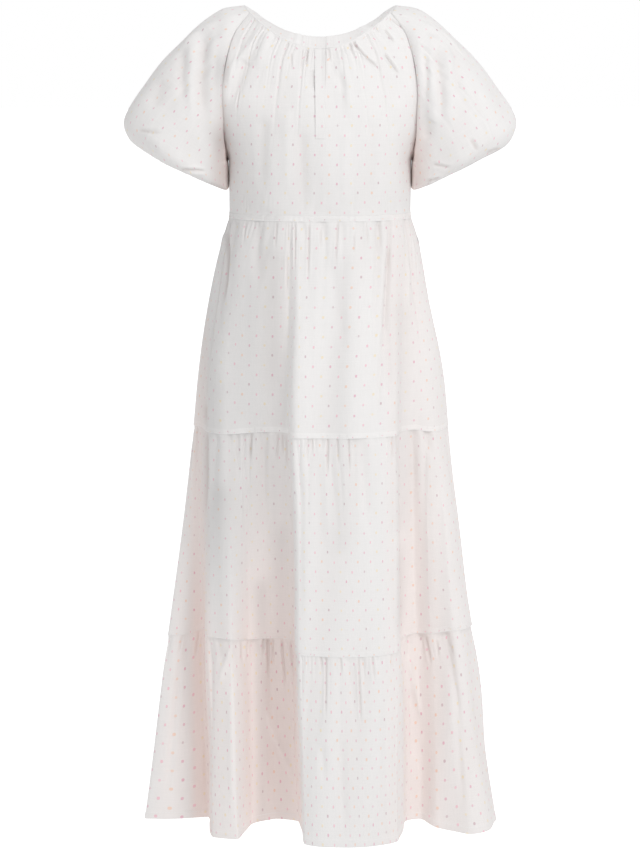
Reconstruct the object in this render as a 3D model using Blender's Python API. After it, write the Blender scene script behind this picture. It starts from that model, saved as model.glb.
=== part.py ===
"""Maxi dress with raglan puff sleeves and a skirt in three gathered tiers, filled out as worn.

Metres, +Z up. The front faces -Y. The origin is the middle of the neck opening, level with the
tops of the shoulders, where the wearer carries the dress. Every piece of cloth is a wall whose
outer side is a surface given by a function, and whose inner side is that surface moved inward.
"""
from math import atan2, cos, pi, radians, sin, sqrt

import bmesh
import bpy
import numpy as np

# ---- driving dimensions
WALL = 0.0012
CASING_WALL = 0.0022
SEAM_GAP = 0.0003

WAIST = -0.326
HIP_SEAM = -0.662
KNEE_SEAM = -1.019
HEM = -1.327

NECK_HALF_WIDTH = 0.103
NECK_HALF_DEPTH = 0.078
NECK_DROP = 0.005
NECK_DIP_FRONT = 0.038
NECK_DIP_BACK = 0.044
NECK_CASING = 0.020
CASING_SWELL = 0.0012
CASING_LEAN = 0.6
SHOULDER_SEAM_ANGLE = radians(24)
SHOULDER_FALL = -0.55  # the casing rises outward at the shoulder
FRONT_FALL = 0.92

PLACKET_WIDTH = 0.019
PLACKET_BOTTOM = -0.201
PLACKET_COLUMNS = 4
PLACKET_ROWS = 8

CUFF_HEIGHT = 0.014

# ---- how finely each piece is divided
NECK_COLUMNS = 56
BODICE_COLUMNS = 56
SLEEVE_COLUMNS = 44
TIER_COLUMNS = 64

# ---- the skirt's smooth form at each height: half width, and depth forward and back
SKIRT_FORM = (
    # height, half_width, front, back
    (-0.326, 0.1451, 0.108, 0.100),
    (-0.351, 0.1526, 0.115, 0.106),
    (-0.464, 0.1769, 0.131, 0.120),
    (-0.594, 0.1981, 0.146, 0.134),
    (-0.662, 0.2060, 0.150, 0.139),
    (-0.956, 0.2390, 0.150, 0.154),
    (-1.123, 0.2614, 0.150, 0.160),
    (-1.327, 0.2894, 0.152, 0.168),
)
FORM_POWER = 2.3

# ---- lines of the big folds down the skirt, from the left side seam over the front to the right
# one and back: place across at three heights, in half widths, then how far the cloth falls in
# at the hem, how much the hem rises there, and how much the knee seam is lifted
FRONT_FOLDS = (
    # name, waist, hip, hem, inward, rise, lift
    ("left side seam", -1.000, -1.000, -1.000, 0.000, 0.004, 0.000),
    ("left panel", -0.997, -0.975, -0.820, 0.090, 0.006, 0.000),
    ("left panel end", -0.990, -0.925, -0.640, 0.120, 0.008, 0.008),
    ("narrow flute left", -0.975, -0.870, -0.604, 0.030, 0.000, 0.020),
    ("narrow flute right", -0.860, -0.720, -0.465, 0.028, 0.000, 0.018),
    ("recess left", -0.700, -0.540, -0.380, 0.100, 0.008, 0.002),
    ("recess", -0.520, -0.400, -0.235, 0.115, 0.012, 0.000),
    ("recess right", -0.355, -0.270, -0.120, 0.110, 0.010, 0.000),
    ("wide flute left", -0.205, -0.165, -0.090, 0.014, 0.000, 0.000),
    ("wide flute", 0.310, 0.160, 0.180, -0.003, -0.002, 0.000),
    ("wide flute right", 0.820, 0.555, 0.440, 0.010, 0.002, 0.000),
    ("right recess left", 0.887, 0.640, 0.482, 0.092, 0.012, 0.002),
    ("right recess", 0.928, 0.735, 0.565, 0.101, 0.012, 0.006),
    ("right flute left", 0.958, 0.815, 0.665, 0.066, 0.004, 0.014),
    ("right flute", 0.982, 0.905, 0.835, 0.022, -0.002, 0.026),
    ("right flute right", 0.996, 0.970, 0.955, 0.006, 0.000, 0.024),
)
BACK_FOLDS = (
    # name, waist, hip, hem, inward, rise, lift
    ("right side seam", 1.000, 1.000, 1.000, 0.000, 0.002, 0.020),
    ("back right recess", 0.900, 0.840, 0.790, 0.072, 0.008, 0.010),
    ("back right flute right", 0.760, 0.690, 0.640, 0.010, 0.000, 0.000),
    ("back right flute left", 0.560, 0.490, 0.470, 0.006, 0.000, 0.000),
    ("back recess right", 0.440, 0.390, 0.400, 0.086, 0.009, 0.000),
    ("back recess left", 0.300, 0.270, 0.270, 0.092, 0.010, 0.000),
    ("middle flute right", 0.180, 0.170, 0.190, 0.008, 0.000, 0.000),
    ("middle flute left", -0.100, -0.110, -0.100, 0.004, 0.000, 0.000),
    ("back left recess right", -0.200, -0.190, -0.165, 0.080, 0.009, 0.000),
    ("back left recess left", -0.350, -0.330, -0.310, 0.088, 0.009, 0.000),
    ("back left flute right", -0.470, -0.430, -0.400, 0.010, 0.000, 0.000),
    ("back left flute left", -0.690, -0.640, -0.610, 0.008, 0.000, 0.000),
    ("left recess", -0.840, -0.780, -0.720, 0.078, 0.008, 0.000),
    ("left rear fold", -0.955, -0.935, -0.900, 0.012, 0.000, 0.000),
)
# how far the folds have opened at each height
FOLD_GROWTH = (
    # height, share
    (-0.326, 0.00),
    (-0.493, 0.10),
    (-0.662, 0.30),
    (-1.019, 0.80),
    (-1.327, 1.00),
)

# ---- tiers: top seam, bottom seam, gathers in a panel, their height and how far they run down
TIERS = (
    # name, top, bottom, gathers, height, length
    ("tier_1", WAIST, HIP_SEAM, 16, 0.0032, 0.11),
    ("tier_2", HIP_SEAM, KNEE_SEAM, 16, 0.0036, 0.13),
    ("tier_3", KNEE_SEAM, HEM, 16, 0.0042, 0.16),
)
TIER_ROWS = (0.0, 0.05, 0.20, 0.50, 1.0)
GATHER_START = 0.014
PLAIN_END = 0.06

# ---- the raglan seam from the neck casing to the underarm, the same in front and behind
RAGLAN = (
    # height, across, depth
    (-0.041, 0.1355, 0.052),
    (-0.090, 0.1494, 0.063),
    (-0.132, 0.1565, 0.064),
    (-0.173, 0.1562, 0.053),
    (-0.217, 0.1490, 0.030),
    (-0.238, 0.1456, 0.000),
)
RAGLAN_STEPS = 8
SIDE_STEPS = 2

# ---- middle line of the bodice, front and back, at shares of the way from casing to waist
BODICE_MIDDLE = (
    # share, front depth, back depth, height
    (0.00, 0.0870, 0.0885, -0.0613),
    (0.25, 0.1040, 0.1030, -0.1169),
    (0.50, 0.1130, 0.1080, -0.1855),
    (0.75, 0.1120, 0.1040, -0.2564),
    (1.00, 0.1080, 0.1000, -0.3260),
)
NECK_GATHERS = 14
NECK_GATHER_HEIGHT = 0.0030
NECK_GATHER_LENGTH = 0.30
NECK_GATHER_START = 0.08
CASING_FIT = 0.35

# ---- puff sleeve: the top line and the underarm line from the seam to the cuff, and half depth
SLEEVE = (
    # share, top across, top height, under across, under height, half depth
    (0.00, 0.1197, 0.0060, 0.1456, -0.2376, 0.060),
    (0.10, 0.1500, 0.0020, 0.1478, -0.2425, 0.077),
    (0.28, 0.2160, -0.0467, 0.1474, -0.2494, 0.094),
    (0.48, 0.2745, -0.1120, 0.1472, -0.2563, 0.101),
    (0.68, 0.3140, -0.1796, 0.1471, -0.2690, 0.098),
    (0.80, 0.3060, -0.2051, 0.1473, -0.2815, 0.088),
    (0.90, 0.2840, -0.2204, 0.1520, -0.2870, 0.071),
    (1.00, 0.2556, -0.2228, 0.1769, -0.2603, 0.047),
)
SLEEVE_ROWS = (0.0, 0.10, 0.28, 0.48, 0.68, 0.80, 0.90, 1.0)
SLEEVE_GATHERS = 11
SLEEVE_GATHER_HEIGHT = 0.0030
SLEEVE_NECK_SHARE = radians(30)
ARMHOLE_FIT = 0.26

COTTON = (0.86, 0.85, 0.84, 1.0)
SEAM_COTTON = (0.92, 0.91, 0.90, 1.0)


# ---- curves through table rows
def slopes(knots, values):
    """Slopes at the knots that keep a cubic from overshooting the values."""
    steps = np.diff(knots)
    rates = np.diff(values, axis=0) / steps[:, None]
    inner_a, inner_b = rates[:-1], rates[1:]
    same_way = inner_a * inner_b > 0
    weight_a = (2 * steps[1:] + steps[:-1])[:, None]
    weight_b = (steps[1:] + 2 * steps[:-1])[:, None]
    safe_a = np.where(same_way, inner_a, 1.0)
    safe_b = np.where(same_way, inner_b, 1.0)
    mean = (weight_a + weight_b) / (weight_a / safe_a + weight_b / safe_b)
    inner = np.where(same_way, mean, 0.0)
    return np.vstack([rates[:1], inner, rates[-1:]])


def smooth_table(knots, values, at):
    """Values read from a smooth, monotone cubic through a table's rows."""
    knots = np.asarray(knots, float)
    values = np.asarray(values, float)
    if values.ndim == 1:
        values = values[:, None]
    at = np.clip(np.atleast_1d(np.asarray(at, float)), knots[0], knots[-1])
    tangents = slopes(knots, values)
    left = np.clip(np.searchsorted(knots, at, side="right") - 1, 0, len(knots) - 2)
    width = (knots[left + 1] - knots[left])[:, None]
    share = (at - knots[left])[:, None] / width
    return (
        values[left] * (1 + 2 * share) * (1 - share) ** 2
        + values[left + 1] * share**2 * (3 - 2 * share)
        + tangents[left] * width * share * (1 - share) ** 2
        - tangents[left + 1] * width * share**2 * (1 - share)
    )


def signed_power(values, power):
    return np.sign(values) * np.abs(values) ** power


def unit(vectors):
    """Vectors of length one, row by row."""
    return vectors / np.linalg.norm(vectors, axis=-1, keepdims=True)


# ---- the skirt
def form_at(level):
    """Half width, front depth and back depth of the smooth skirt at a height."""
    rows = np.array(SKIRT_FORM)[::-1]
    return smooth_table(rows[:, 0], rows[:, 1:], level)[0]


def growth_at(level):
    rows = np.array(FOLD_GROWTH)[::-1]
    return smooth_table(rows[:, 0], rows[:, 1], level)[0, 0]


def fold_points(level):
    """Across, forward (negative) and rise of each fold line at a height, in order round the skirt."""
    half_width, front, back = form_at(level)
    growth = growth_at(level)
    knee = smooth_table((HEM, KNEE_SEAM, HIP_SEAM), (0, 1, 0), level)[0, 0]
    points = []
    for rows, depth in ((FRONT_FOLDS, -front), (BACK_FOLDS, back)):
        for _, waist, hip, hem, inward, rise, lift in rows:
            share = smooth_table((HEM, HIP_SEAM, WAIST), (hem, hip, waist), level)[0, 0]
            round_share = max(0.0, 1 - abs(share) ** FORM_POWER) ** (1 / FORM_POWER)
            out = depth * round_share
            fall = -inward if depth > 0 else inward
            points.append((share * half_width, out + growth * fall, growth * rise + knee * lift))
    return np.array(points)


def fold_places():
    """Share of the way round at each fold line: the side seams are at 0 and one half."""
    count = len(FRONT_FOLDS)
    lengths = 0.0
    for level in (WAIST, HIP_SEAM, HEM):
        points = fold_points(level)[:, :2]
        steps = np.linalg.norm(np.roll(points, -1, axis=0) - points, axis=1)
        lengths = lengths + steps / steps.sum()
    front = np.cumsum(lengths[:count]) / lengths[:count].sum() / 2
    back = np.cumsum(lengths[count:]) / lengths[count:].sum() / 2
    return np.concatenate([[0.0], front, 0.5 + back[:-1]])


PLACES = fold_places()


def skirt_ring(level, around):
    """Points round the skirt at a height, for shares of the way round."""
    points = fold_points(level)
    wrap = 3
    knots = np.concatenate([PLACES[-wrap:] - 1, PLACES, PLACES[:wrap] + 1])
    values = np.vstack([points[-wrap:], points, points[:wrap]])
    ring = smooth_table(knots, values, around)
    return np.column_stack([ring[:, 0], ring[:, 1], level + ring[:, 2]])


def plan_frame(level, around):
    """Unit tangent and outward normal of the ring, both level."""
    step = 1e-4
    along = skirt_ring(level, around + step) - skirt_ring(level, around - step)
    along[:, 2] = 0
    tangent = unit(along)
    outward = np.column_stack([tangent[:, 1], -tangent[:, 0], np.zeros(len(tangent))])
    return tangent, outward


def gather_height(tier, level, around):
    """How far the gathers below a tier's top seam stand out."""
    _, top, bottom, count, height, length = tier
    below = top - level
    start = min(1.0, below / GATHER_START)
    fade = 1 / (1 + (below / length) ** 2)
    end = min(1.0, max(0.0, (level - bottom) / PLAIN_END))
    return height * start * fade * end * np.cos(2 * pi * count * 2 * around)


def tier_point(tier, level, around):
    _, outward = plan_frame(level, around)
    return skirt_ring(level, around) + outward * gather_height(tier, level, around)[:, None]


def tier_grid(tier, start, columns, rows):
    """Outer and inner points of a tier's panel, row by row down from its top seam."""
    _, top, bottom = tier[:3]
    around = start + np.linspace(0, 0.5, columns + 1)
    outer, inner = [], []
    for row, share in enumerate(rows):
        inset = SEAM_GAP / 2 if row == 0 else 0.0
        if row == len(rows) - 1 and bottom != HEM:
            inset = -SEAM_GAP / 2
        level = top + (bottom - top) * share
        points = tier_point(tier, level, around)
        tangent, outward = plan_frame(level, around)
        if 0 < share < 1:
            down = tier_point(tier, level - 0.002, around) - tier_point(tier, level + 0.002, around)
            step = 1e-4
            along = tier_point(tier, level, around + step) - tier_point(tier, level, around - step)
            outward = unit(np.cross(down, along))
            for edge in (0, -1):
                flat = outward[edge] - tangent[edge] * outward[edge].dot(tangent[edge])
                outward[edge] = flat / np.linalg.norm(flat)
        points[:, 2] -= inset
        points[0] += tangent[0] * SEAM_GAP / 2
        points[-1] -= tangent[-1] * SEAM_GAP / 2
        outer.append(points)
        inner.append(points - outward * WALL)
    return np.array(outer), np.array(inner)


# ---- the neck casing
def neck_edge(angle):
    """The neck opening's edge: angle 0 is the wearer's left shoulder seen at +X, 90 deg the front."""
    dip = NECK_DIP_FRONT if sin(angle) > 0 else NECK_DIP_BACK
    across = NECK_HALF_WIDTH * cos(angle)
    forward = -NECK_HALF_DEPTH * sin(angle)
    return np.array([across, forward, -NECK_DROP - dip * sin(angle) ** 2])


def casing_fall(angle):
    """The way the casing lies, down and out from the neck's edge."""
    down = SHOULDER_FALL + (FRONT_FALL - SHOULDER_FALL) * sin(angle) ** 2
    level = sqrt(1 - down**2)
    way = atan2(sin(angle) * NECK_HALF_WIDTH, cos(angle) * NECK_HALF_DEPTH)
    return np.array([cos(way) * level, -sin(way) * level, -down])


def casing_bottom(angle):
    return neck_edge(angle) + casing_fall(angle) * NECK_CASING


def casing_outward(angle):
    step = 1e-3
    along = neck_edge(angle + step) - neck_edge(angle - step)
    return unit(np.cross(along, casing_fall(angle)))


# ---- the bodice
def raglan_seam(share):
    """A point of the right raglan seam in front: share 0 is the casing, 1 the underarm."""
    top = casing_bottom(SHOULDER_SEAM_ANGLE)
    rows = np.array([(top[2], top[0], -top[1])] + list(RAGLAN))
    runs = np.linalg.norm(np.diff(rows, axis=0), axis=1)
    knots = np.concatenate([[0], np.cumsum(runs) / runs.sum()])
    height, across, depth = smooth_table(knots, rows, share)[0]
    return np.array([across, -depth, height])


def bodice_edge(share, face):
    """The bodice's right edge: along the raglan seam, then down the side seam to the waist."""
    armhole = RAGLAN_STEPS / (RAGLAN_STEPS + SIDE_STEPS)
    if share <= armhole:
        across, depth, height = raglan_seam(share / armhole)
        return np.array([across, depth * -face, height])
    down = (share - armhole) / (1 - armhole)
    under = raglan_seam(1.0)
    half_width = SKIRT_FORM[0][1]
    return np.array([under[0] + (half_width - under[0]) * down, 0.0, under[2] + (WAIST - under[2]) * down])


def bodice_row(share, face, turn):
    """Points across a row of the bodice: turn 0 is its right edge, 1 its left edge.

    face is -1 for the front and 1 for the back.
    """
    rows = np.array(BODICE_MIDDLE)
    front, back, height = smooth_table(rows[:, 0], rows[:, 1:], share)[0]
    depth = front if face < 0 else back
    edge = bodice_edge(share, face)
    power = 2.0 + (FORM_POWER - 2.0) * share
    low = np.arcsin(min(1.0, (abs(edge[1]) / depth) ** (power / 2)))
    angle = low + (pi - 2 * low) * turn
    wide = edge[0] / cos(low) ** (2 / power)
    across = wide * signed_power(np.cos(angle), 2 / power)
    forward = face * depth * signed_power(np.sin(angle), 2 / power)
    middle = (np.sin(angle) ** 2 - sin(low) ** 2) / (1 - sin(low) ** 2)
    return np.column_stack([across, forward, edge[2] + (height - edge[2]) * middle])


def bodice_point(share, face, turn):
    """The bodice's outer side, fitted to the casing at the top and gathered below it."""
    points = bodice_row(share, face, turn)
    near = max(0.0, 1 - share / CASING_FIT) ** 2
    if near > 0:
        angles = SHOULDER_SEAM_ANGLE + (pi - 2 * SHOULDER_SEAM_ANGLE) * turn
        casing = np.array([casing_bottom(-face * angle) for angle in angles])
        points += near * (casing - bodice_row(0.0, face, turn))
    return points


def bodice_outward(share, face, turn):
    step = 1e-3
    above, below = max(0.0, share - step), min(1.0, share + step)
    down = bodice_point(below, face, turn) - bodice_point(above, face, turn)
    along = bodice_point(share, face, turn + step) - bodice_point(share, face, turn - step)
    return unit(np.cross(down, along)) * face


def bodice_shares():
    """Shares of the way down the bodice's edge at its rows."""
    steps = RAGLAN_STEPS + SIDE_STEPS
    return [step / steps for step in range(steps + 1)]


def neck_gathers(share, turn):
    """How far the gathers under the casing stand out, fading toward the waist and the sides."""
    start = min(1.0, share / NECK_GATHER_START)
    fade = max(0.0, 1 - share / NECK_GATHER_LENGTH)
    sides = np.minimum(1.0, 8 * np.minimum(turn, 1 - turn))
    return NECK_GATHER_HEIGHT * start * fade * sides * np.cos(2 * pi * NECK_GATHERS * turn)


def bodice_grid(face, columns, rows):
    """Outer and inner points of the front or back bodice, row by row down from the casing."""
    turn = np.linspace(0, 1, columns + 1)
    if face > 0:
        turn = turn[::-1]
    outer, inner = [], []
    for row, share in enumerate(rows):
        points = bodice_point(share, face, turn)
        outward = bodice_outward(share, face, turn)
        if row == 0:
            angles = SHOULDER_SEAM_ANGLE + (pi - 2 * SHOULDER_SEAM_ANGLE) * turn
            outward = np.array([casing_outward(-face * angle) for angle in angles])
            falls = np.array([casing_fall(-face * angle) for angle in angles])
            points = points + falls * SEAM_GAP
        if row == len(rows) - 1:
            outward[:, 2] = 0
            outward = unit(outward)
            points[:, 2] += SEAM_GAP / 2
        if share >= RAGLAN_STEPS / (RAGLAN_STEPS + SIDE_STEPS):
            points[[0, -1], 1] += face * SEAM_GAP / 2
            outward[[0, -1], 1] = 0
            outward[[0, -1]] = unit(outward[[0, -1]])
        points = points + outward * neck_gathers(share, turn)[:, None]
        outer.append(points)
        inner.append(points - outward * WALL)
    return np.array(outer), np.array(inner)


def placket_grid():
    """The strip down the middle of the front, laid on the bodice's own points."""
    shares = np.linspace(0, 1, 60)
    heights = np.array([bodice_row(share, -1, np.array([0.5]))[0, 2] for share in shares])
    bottom = np.interp(-PLACKET_BOTTOM, -heights, shares)
    step = 1e-3
    outer, inner = [], []
    for share in np.linspace(2 * step, bottom, PLACKET_ROWS + 1):
        pair = bodice_row(share, -1, np.array([0.5 - step, 0.5 + step]))
        across_per_turn = abs(pair[1, 0] - pair[0, 0]) / (2 * step)
        half_turn = PLACKET_WIDTH / 2 / across_per_turn
        turn = 0.5 + np.linspace(-half_turn, half_turn, PLACKET_COLUMNS + 1)
        outward = bodice_outward(share, -1, turn)
        lift = neck_gathers(share, turn).max() + SEAM_GAP
        points = bodice_point(share, -1, turn) + outward * lift
        inner.append(points)
        outer.append(points + outward * WALL)
    return np.array(outer), np.array(inner)


# ---- the sleeves, on the +X side; the other is its mirror image
def armhole_loop(angle, shares):
    """The seam round the sleeve's top: angle 0 is the shoulder, 180 deg the underarm."""
    size = abs(angle)
    if size < SLEEVE_NECK_SHARE:
        return casing_bottom(SHOULDER_SEAM_ANGLE * angle / SLEEVE_NECK_SHARE)
    place = (size - SLEEVE_NECK_SHARE) / (pi - SLEEVE_NECK_SHARE) * (len(shares) - 1)
    row = min(int(place), len(shares) - 2)
    points = [raglan_seam(shares[row]), raglan_seam(shares[row + 1])]
    point = points[0] + (points[1] - points[0]) * (place - row)
    if angle < 0:
        point[1] = -point[1]
    return point


def sleeve_row(share, angles):
    rows = np.array(SLEEVE)
    top_x, top_z, under_x, under_z, depth = smooth_table(rows[:, 0], rows[:, 1:], share)[0]
    middle = np.array([(top_x + under_x) / 2, 0, (top_z + under_z) / 2])
    half = np.array([(top_x - under_x) / 2, 0, (top_z - under_z) / 2])
    forward = np.array([0, -depth, 0])
    return middle + np.outer(np.cos(angles), half) + np.outer(np.sin(angles), forward)


def sleeve_point(share, angles):
    points = sleeve_row(share, angles)
    near = max(0.0, 1 - share / ARMHOLE_FIT) ** 2
    if near > 0:
        shares = [step / RAGLAN_STEPS for step in range(RAGLAN_STEPS + 1)]
        loop = np.array([armhole_loop(angle, shares) for angle in angles])
        points += near * (loop - sleeve_row(0.0, angles))
    return points


def sleeve_outward(share, angles):
    step = 2e-3
    above, below = max(0.0, share - step), min(1.0, share + step)
    down = sleeve_point(below, angles) - sleeve_point(above, angles)
    along = sleeve_point(share, angles + step) - sleeve_point(share, angles - step)
    return unit(np.cross(along, down))


def sleeve_gathers(share, angles):
    """Gathers at the shoulder and at the cuff; the underarm stays plain."""
    top = max(0.0, min(1.0, share / 0.08) * (1 - share / 0.45))
    end = max(0.0, (share - 0.62) / 0.38) * min(1.0, (1 - share) / 0.08)
    plain = (1 + np.cos(angles)) / 2
    height = top * plain + end
    return SLEEVE_GATHER_HEIGHT * height * np.cos(SLEEVE_GATHERS * angles)


def sleeve_grid(side, columns, rows):
    """Outer and inner points of a sleeve, ring by ring from the armhole to the cuff."""
    angles = np.linspace(-pi, pi, columns, endpoint=False)
    outer, inner = [], []
    for share in rows:
        points = sleeve_point(share, angles)
        outward = sleeve_outward(share, angles)
        if share == 0:
            away = unit(sleeve_point(0.02, angles) - points)
            points = points + (away + 2 * outward_of_body(points)) * SEAM_GAP
        points = points + outward * sleeve_gathers(share, angles)[:, None]
        outer.append(points)
        inner.append(points - outward * WALL)
    mirror = np.array([side, 1, 1])
    return np.array(outer) * mirror, np.array(inner) * mirror


def outward_of_body(points):
    """Level direction away from the body's upright axis."""
    level = points * np.array([1, 1, 0])
    return unit(level)


def cuff_grid(side, columns):
    """The elastic band that the sleeve's end is gathered on to, just inside it."""
    angles = np.linspace(-pi, pi, columns, endpoint=False)
    end = sleeve_row(1.0, angles)
    middle = end.mean(axis=0)
    axis = unit(np.cross(end[columns // 4] - middle, end[columns // 2] - middle))
    if axis[2] < 0:
        axis = -axis
    spread = unit(end - middle)
    start = end + axis * SEAM_GAP
    outer = np.array([start, start + axis * CUFF_HEIGHT])
    inner = outer - spread * CASING_WALL
    mirror = np.array([side, 1, 1])
    return outer * mirror, inner * mirror


def casing_grid(columns):
    """The neck casing: a soft band with a rounded outer side.

    Its bottom edge leans back, so that its lining stays clear of the sleeves.
    """
    angles = np.linspace(0, 2 * pi, columns, endpoint=False)
    edge = np.array([neck_edge(angle) for angle in angles])
    falls = np.array([casing_fall(angle) for angle in angles])
    outward = np.array([casing_outward(angle) for angle in angles])
    outer, inner = [], []
    for share, swell, lean in ((0.0, 0.0, 0.0), (0.5, CASING_SWELL, 0.0), (1.0, 0.0, CASING_LEAN)):
        points = edge + falls * NECK_CASING * share
        outer.append(points + outward * swell)
        inner.append(points - unit(outward + falls * lean) * CASING_WALL)
    return np.array(outer), np.array(inner)


# ---- turning grids of points into closed walls
def cloth_material(name, colour):
    """Plain cotton, rough and not metallic."""
    material = bpy.data.materials.new(name)
    material.use_nodes = True
    shader = material.node_tree.nodes["Principled BSDF"]
    shader.inputs["Base Color"].default_value = colour
    shader.inputs["Roughness"].default_value = 0.85
    shader.inputs["Metallic"].default_value = 0.0
    material.diffuse_color = colour
    return material


def wall_object(name, outer, inner, closed, colour):
    """A wall from its outer and inner points: closed rings make a tube, open rows a panel."""
    rows, columns = outer.shape[:2]
    bm = bmesh.new()
    if closed:
        line = [bm.verts.new((1, 0, row)) for row in range(rows)]
        edges = [bm.edges.new(pair) for pair in zip(line, line[1:])]
        bmesh.ops.spin(
            bm, geom=line + edges, axis=(0, 0, 1), cent=(0, 0, 0),
            angle=2 * pi, steps=columns, use_merge=True,
        )
    else:
        bmesh.ops.create_grid(bm, x_segments=columns - 1, y_segments=rows - 1, size=0.5)
    skin = bmesh.ops.extrude_face_region(bm, geom=bm.faces[:], use_keep_orig=True)
    lining = {item for item in skin["geom"] if isinstance(item, bmesh.types.BMVert)}
    for vert in bm.verts:
        if closed:
            column = round(atan2(vert.co.y, vert.co.x) / (2 * pi) * columns) % columns
            row = round(vert.co.z)
        else:
            column = round((vert.co.x + 0.5) * (columns - 1))
            row = round((0.5 - vert.co.y) * (rows - 1))
        source = inner if vert in lining else outer
        vert.co = source[row][column]
    bmesh.ops.recalc_face_normals(bm, faces=bm.faces[:])
    if bm.calc_volume(signed=True) < 0:
        bmesh.ops.reverse_faces(bm, faces=bm.faces[:])
    mesh = bpy.data.meshes.new(name)
    bm.to_mesh(mesh)
    bm.free()
    mesh.shade_smooth()
    mesh.materials.append(cloth_material(name + "_cloth", colour))
    made = bpy.data.objects.new(name, mesh)
    bpy.context.collection.objects.link(made)
    return made


def remove_start_objects():
    for item in list(bpy.data.objects):
        bpy.data.objects.remove(item)


def make_bodice():
    rows = bodice_shares()
    for name, face in (("front_bodice", -1), ("back_bodice", 1)):
        outer, inner = bodice_grid(face, BODICE_COLUMNS, rows)
        wall_object(name, outer, inner, False, COTTON)
    outer, inner = placket_grid()
    wall_object("placket", outer, inner, False, SEAM_COTTON)
    outer, inner = casing_grid(NECK_COLUMNS)
    wall_object("neck_band", outer, inner, True, SEAM_COTTON)


def make_sleeves():
    for name, side in (("right", 1), ("left", -1)):
        outer, inner = sleeve_grid(side, SLEEVE_COLUMNS, SLEEVE_ROWS)
        wall_object("sleeve_" + name, outer, inner, True, COTTON)
        outer, inner = cuff_grid(side, SLEEVE_COLUMNS // 2)
        wall_object("cuff_" + name, outer, inner, True, SEAM_COTTON)


def make_skirt():
    for tier in TIERS:
        for name, start in (("front", 0.0), ("back", 0.5)):
            outer, inner = tier_grid(tier, start, TIER_COLUMNS, TIER_ROWS)
            wall_object(tier[0] + "_" + name, outer, inner, False, COTTON)


def main():
    remove_start_objects()
    make_bodice()
    make_sleeves()
    make_skirt()


main()
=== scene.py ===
"""The looks of a white cotton voile maxi dress with raglan puff sleeves, an elastic neck casing, a
lapped placket and a skirt in three gathered tiers, woven with small coloured dots.

Metres, +Z up, the front faces -Y. Each piece of cloth repeats the form of its solid on a fine grid, with
uneven gathers and listed creases, and gets its wall from a Solidify modifier.
"""

from math import atan, atan2, cos, floor, pi, radians, sin, sqrt

import bmesh
import bpy
import numpy as np
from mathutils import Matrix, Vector


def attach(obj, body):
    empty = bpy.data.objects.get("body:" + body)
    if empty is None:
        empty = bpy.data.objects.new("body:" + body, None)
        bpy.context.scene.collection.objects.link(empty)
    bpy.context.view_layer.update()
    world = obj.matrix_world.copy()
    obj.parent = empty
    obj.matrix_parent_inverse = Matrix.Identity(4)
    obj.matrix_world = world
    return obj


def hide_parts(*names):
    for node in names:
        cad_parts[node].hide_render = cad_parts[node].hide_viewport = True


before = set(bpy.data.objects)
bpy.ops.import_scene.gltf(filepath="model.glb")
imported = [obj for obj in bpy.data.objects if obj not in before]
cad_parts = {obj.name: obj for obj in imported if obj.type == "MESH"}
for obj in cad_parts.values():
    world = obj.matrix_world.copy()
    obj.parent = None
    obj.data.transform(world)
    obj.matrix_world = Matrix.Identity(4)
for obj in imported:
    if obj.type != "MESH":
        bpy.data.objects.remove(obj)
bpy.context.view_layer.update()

bl_info = {
    "name": "Tiered Maxi Dress",
    "version": (1, 0, 0),
    "blender": (4, 5, 0),
    "location": "View3D > Sidebar > Dress",
    "description": "Makes the cloth, trims and stage of a tiered cotton voile maxi dress",
    "category": "Object",
}

# ---- sizes of the dress, in metres
SEAM_GAP = 0.0003
WAIST = -0.326
HIP_SEAM = -0.662
KNEE_SEAM = -1.019
HEM = -1.327
HIP_LINE = HIP_SEAM - 0.0015  # where the seams show, a little off the solids'
KNEE_LINE = KNEE_SEAM + 0.006

NECK_HALF_WIDTH = 0.103
NECK_HALF_DEPTH = 0.078
NECK_DROP = 0.005
NECK_DIP_FRONT = 0.038
NECK_DIP_BACK = 0.044
NECK_CASING = 0.020
SHOULDER_SEAM_ANGLE = radians(24)
SHOULDER_FALL = -0.55  # the casing rises outward at the shoulder
FRONT_FALL = 0.92

PLACKET_WIDTH = 0.019
PLACKET_COLUMNS = 25
PLACKET_WALL = 0.0006
PLACKET_STITCH = 0.0018  # from the strip's edge
PLACKET_BOTTOM = -0.201
CASING_WALL = 0.0011
CASING_STITCH = 0.0165  # from the neck's edge
CASING_RUCHES = 46
CUFF_HEIGHT = 0.014
CUFF_WALL = 0.0010
CUFF_RUCHES = 38
BAND_WALL = 0.0003
HEM_STITCH = 0.0012  # below the turned hem's upper edge
HEM_STEP = 0.0006  # by which the turned hem stands out
TIER_EASE = 1.04  # cloth let into the gathers
FORM_POWER = 2.3  # squareness of the form from above
ARMHOLE_SHARE = 0.8  # of the bodice's edge that lies along the raglan seam
CASING_FIT = 0.35  # share of the bodice that is drawn to the casing
SLEEVE_NECK_SHARE = radians(30)  # of the sleeve's ring, along the casing
ARMHOLE_FIT = 0.26  # share of the sleeve that is drawn to the armhole
BODICE_HALF_GIRTH = 0.36
FLAT_MIDDLE = 0.3  # the front's middle on the flat cloth
FLAT_DROP = 1.03  # length of the bodice's cloth over its height

SKIRT_FORM = (
    # height, half_width, front, back
    (-0.326, 0.1451, 0.108, 0.1), (-0.351, 0.1526, 0.115, 0.106), (-0.464, 0.1769, 0.131, 0.12),
    (-0.594, 0.1981, 0.146, 0.134), (-0.662, 0.206, 0.15, 0.139), (-0.956, 0.239, 0.15, 0.154),
    (-1.123, 0.2614, 0.15, 0.16), (-1.327, 0.2894, 0.152, 0.168),
)

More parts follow.
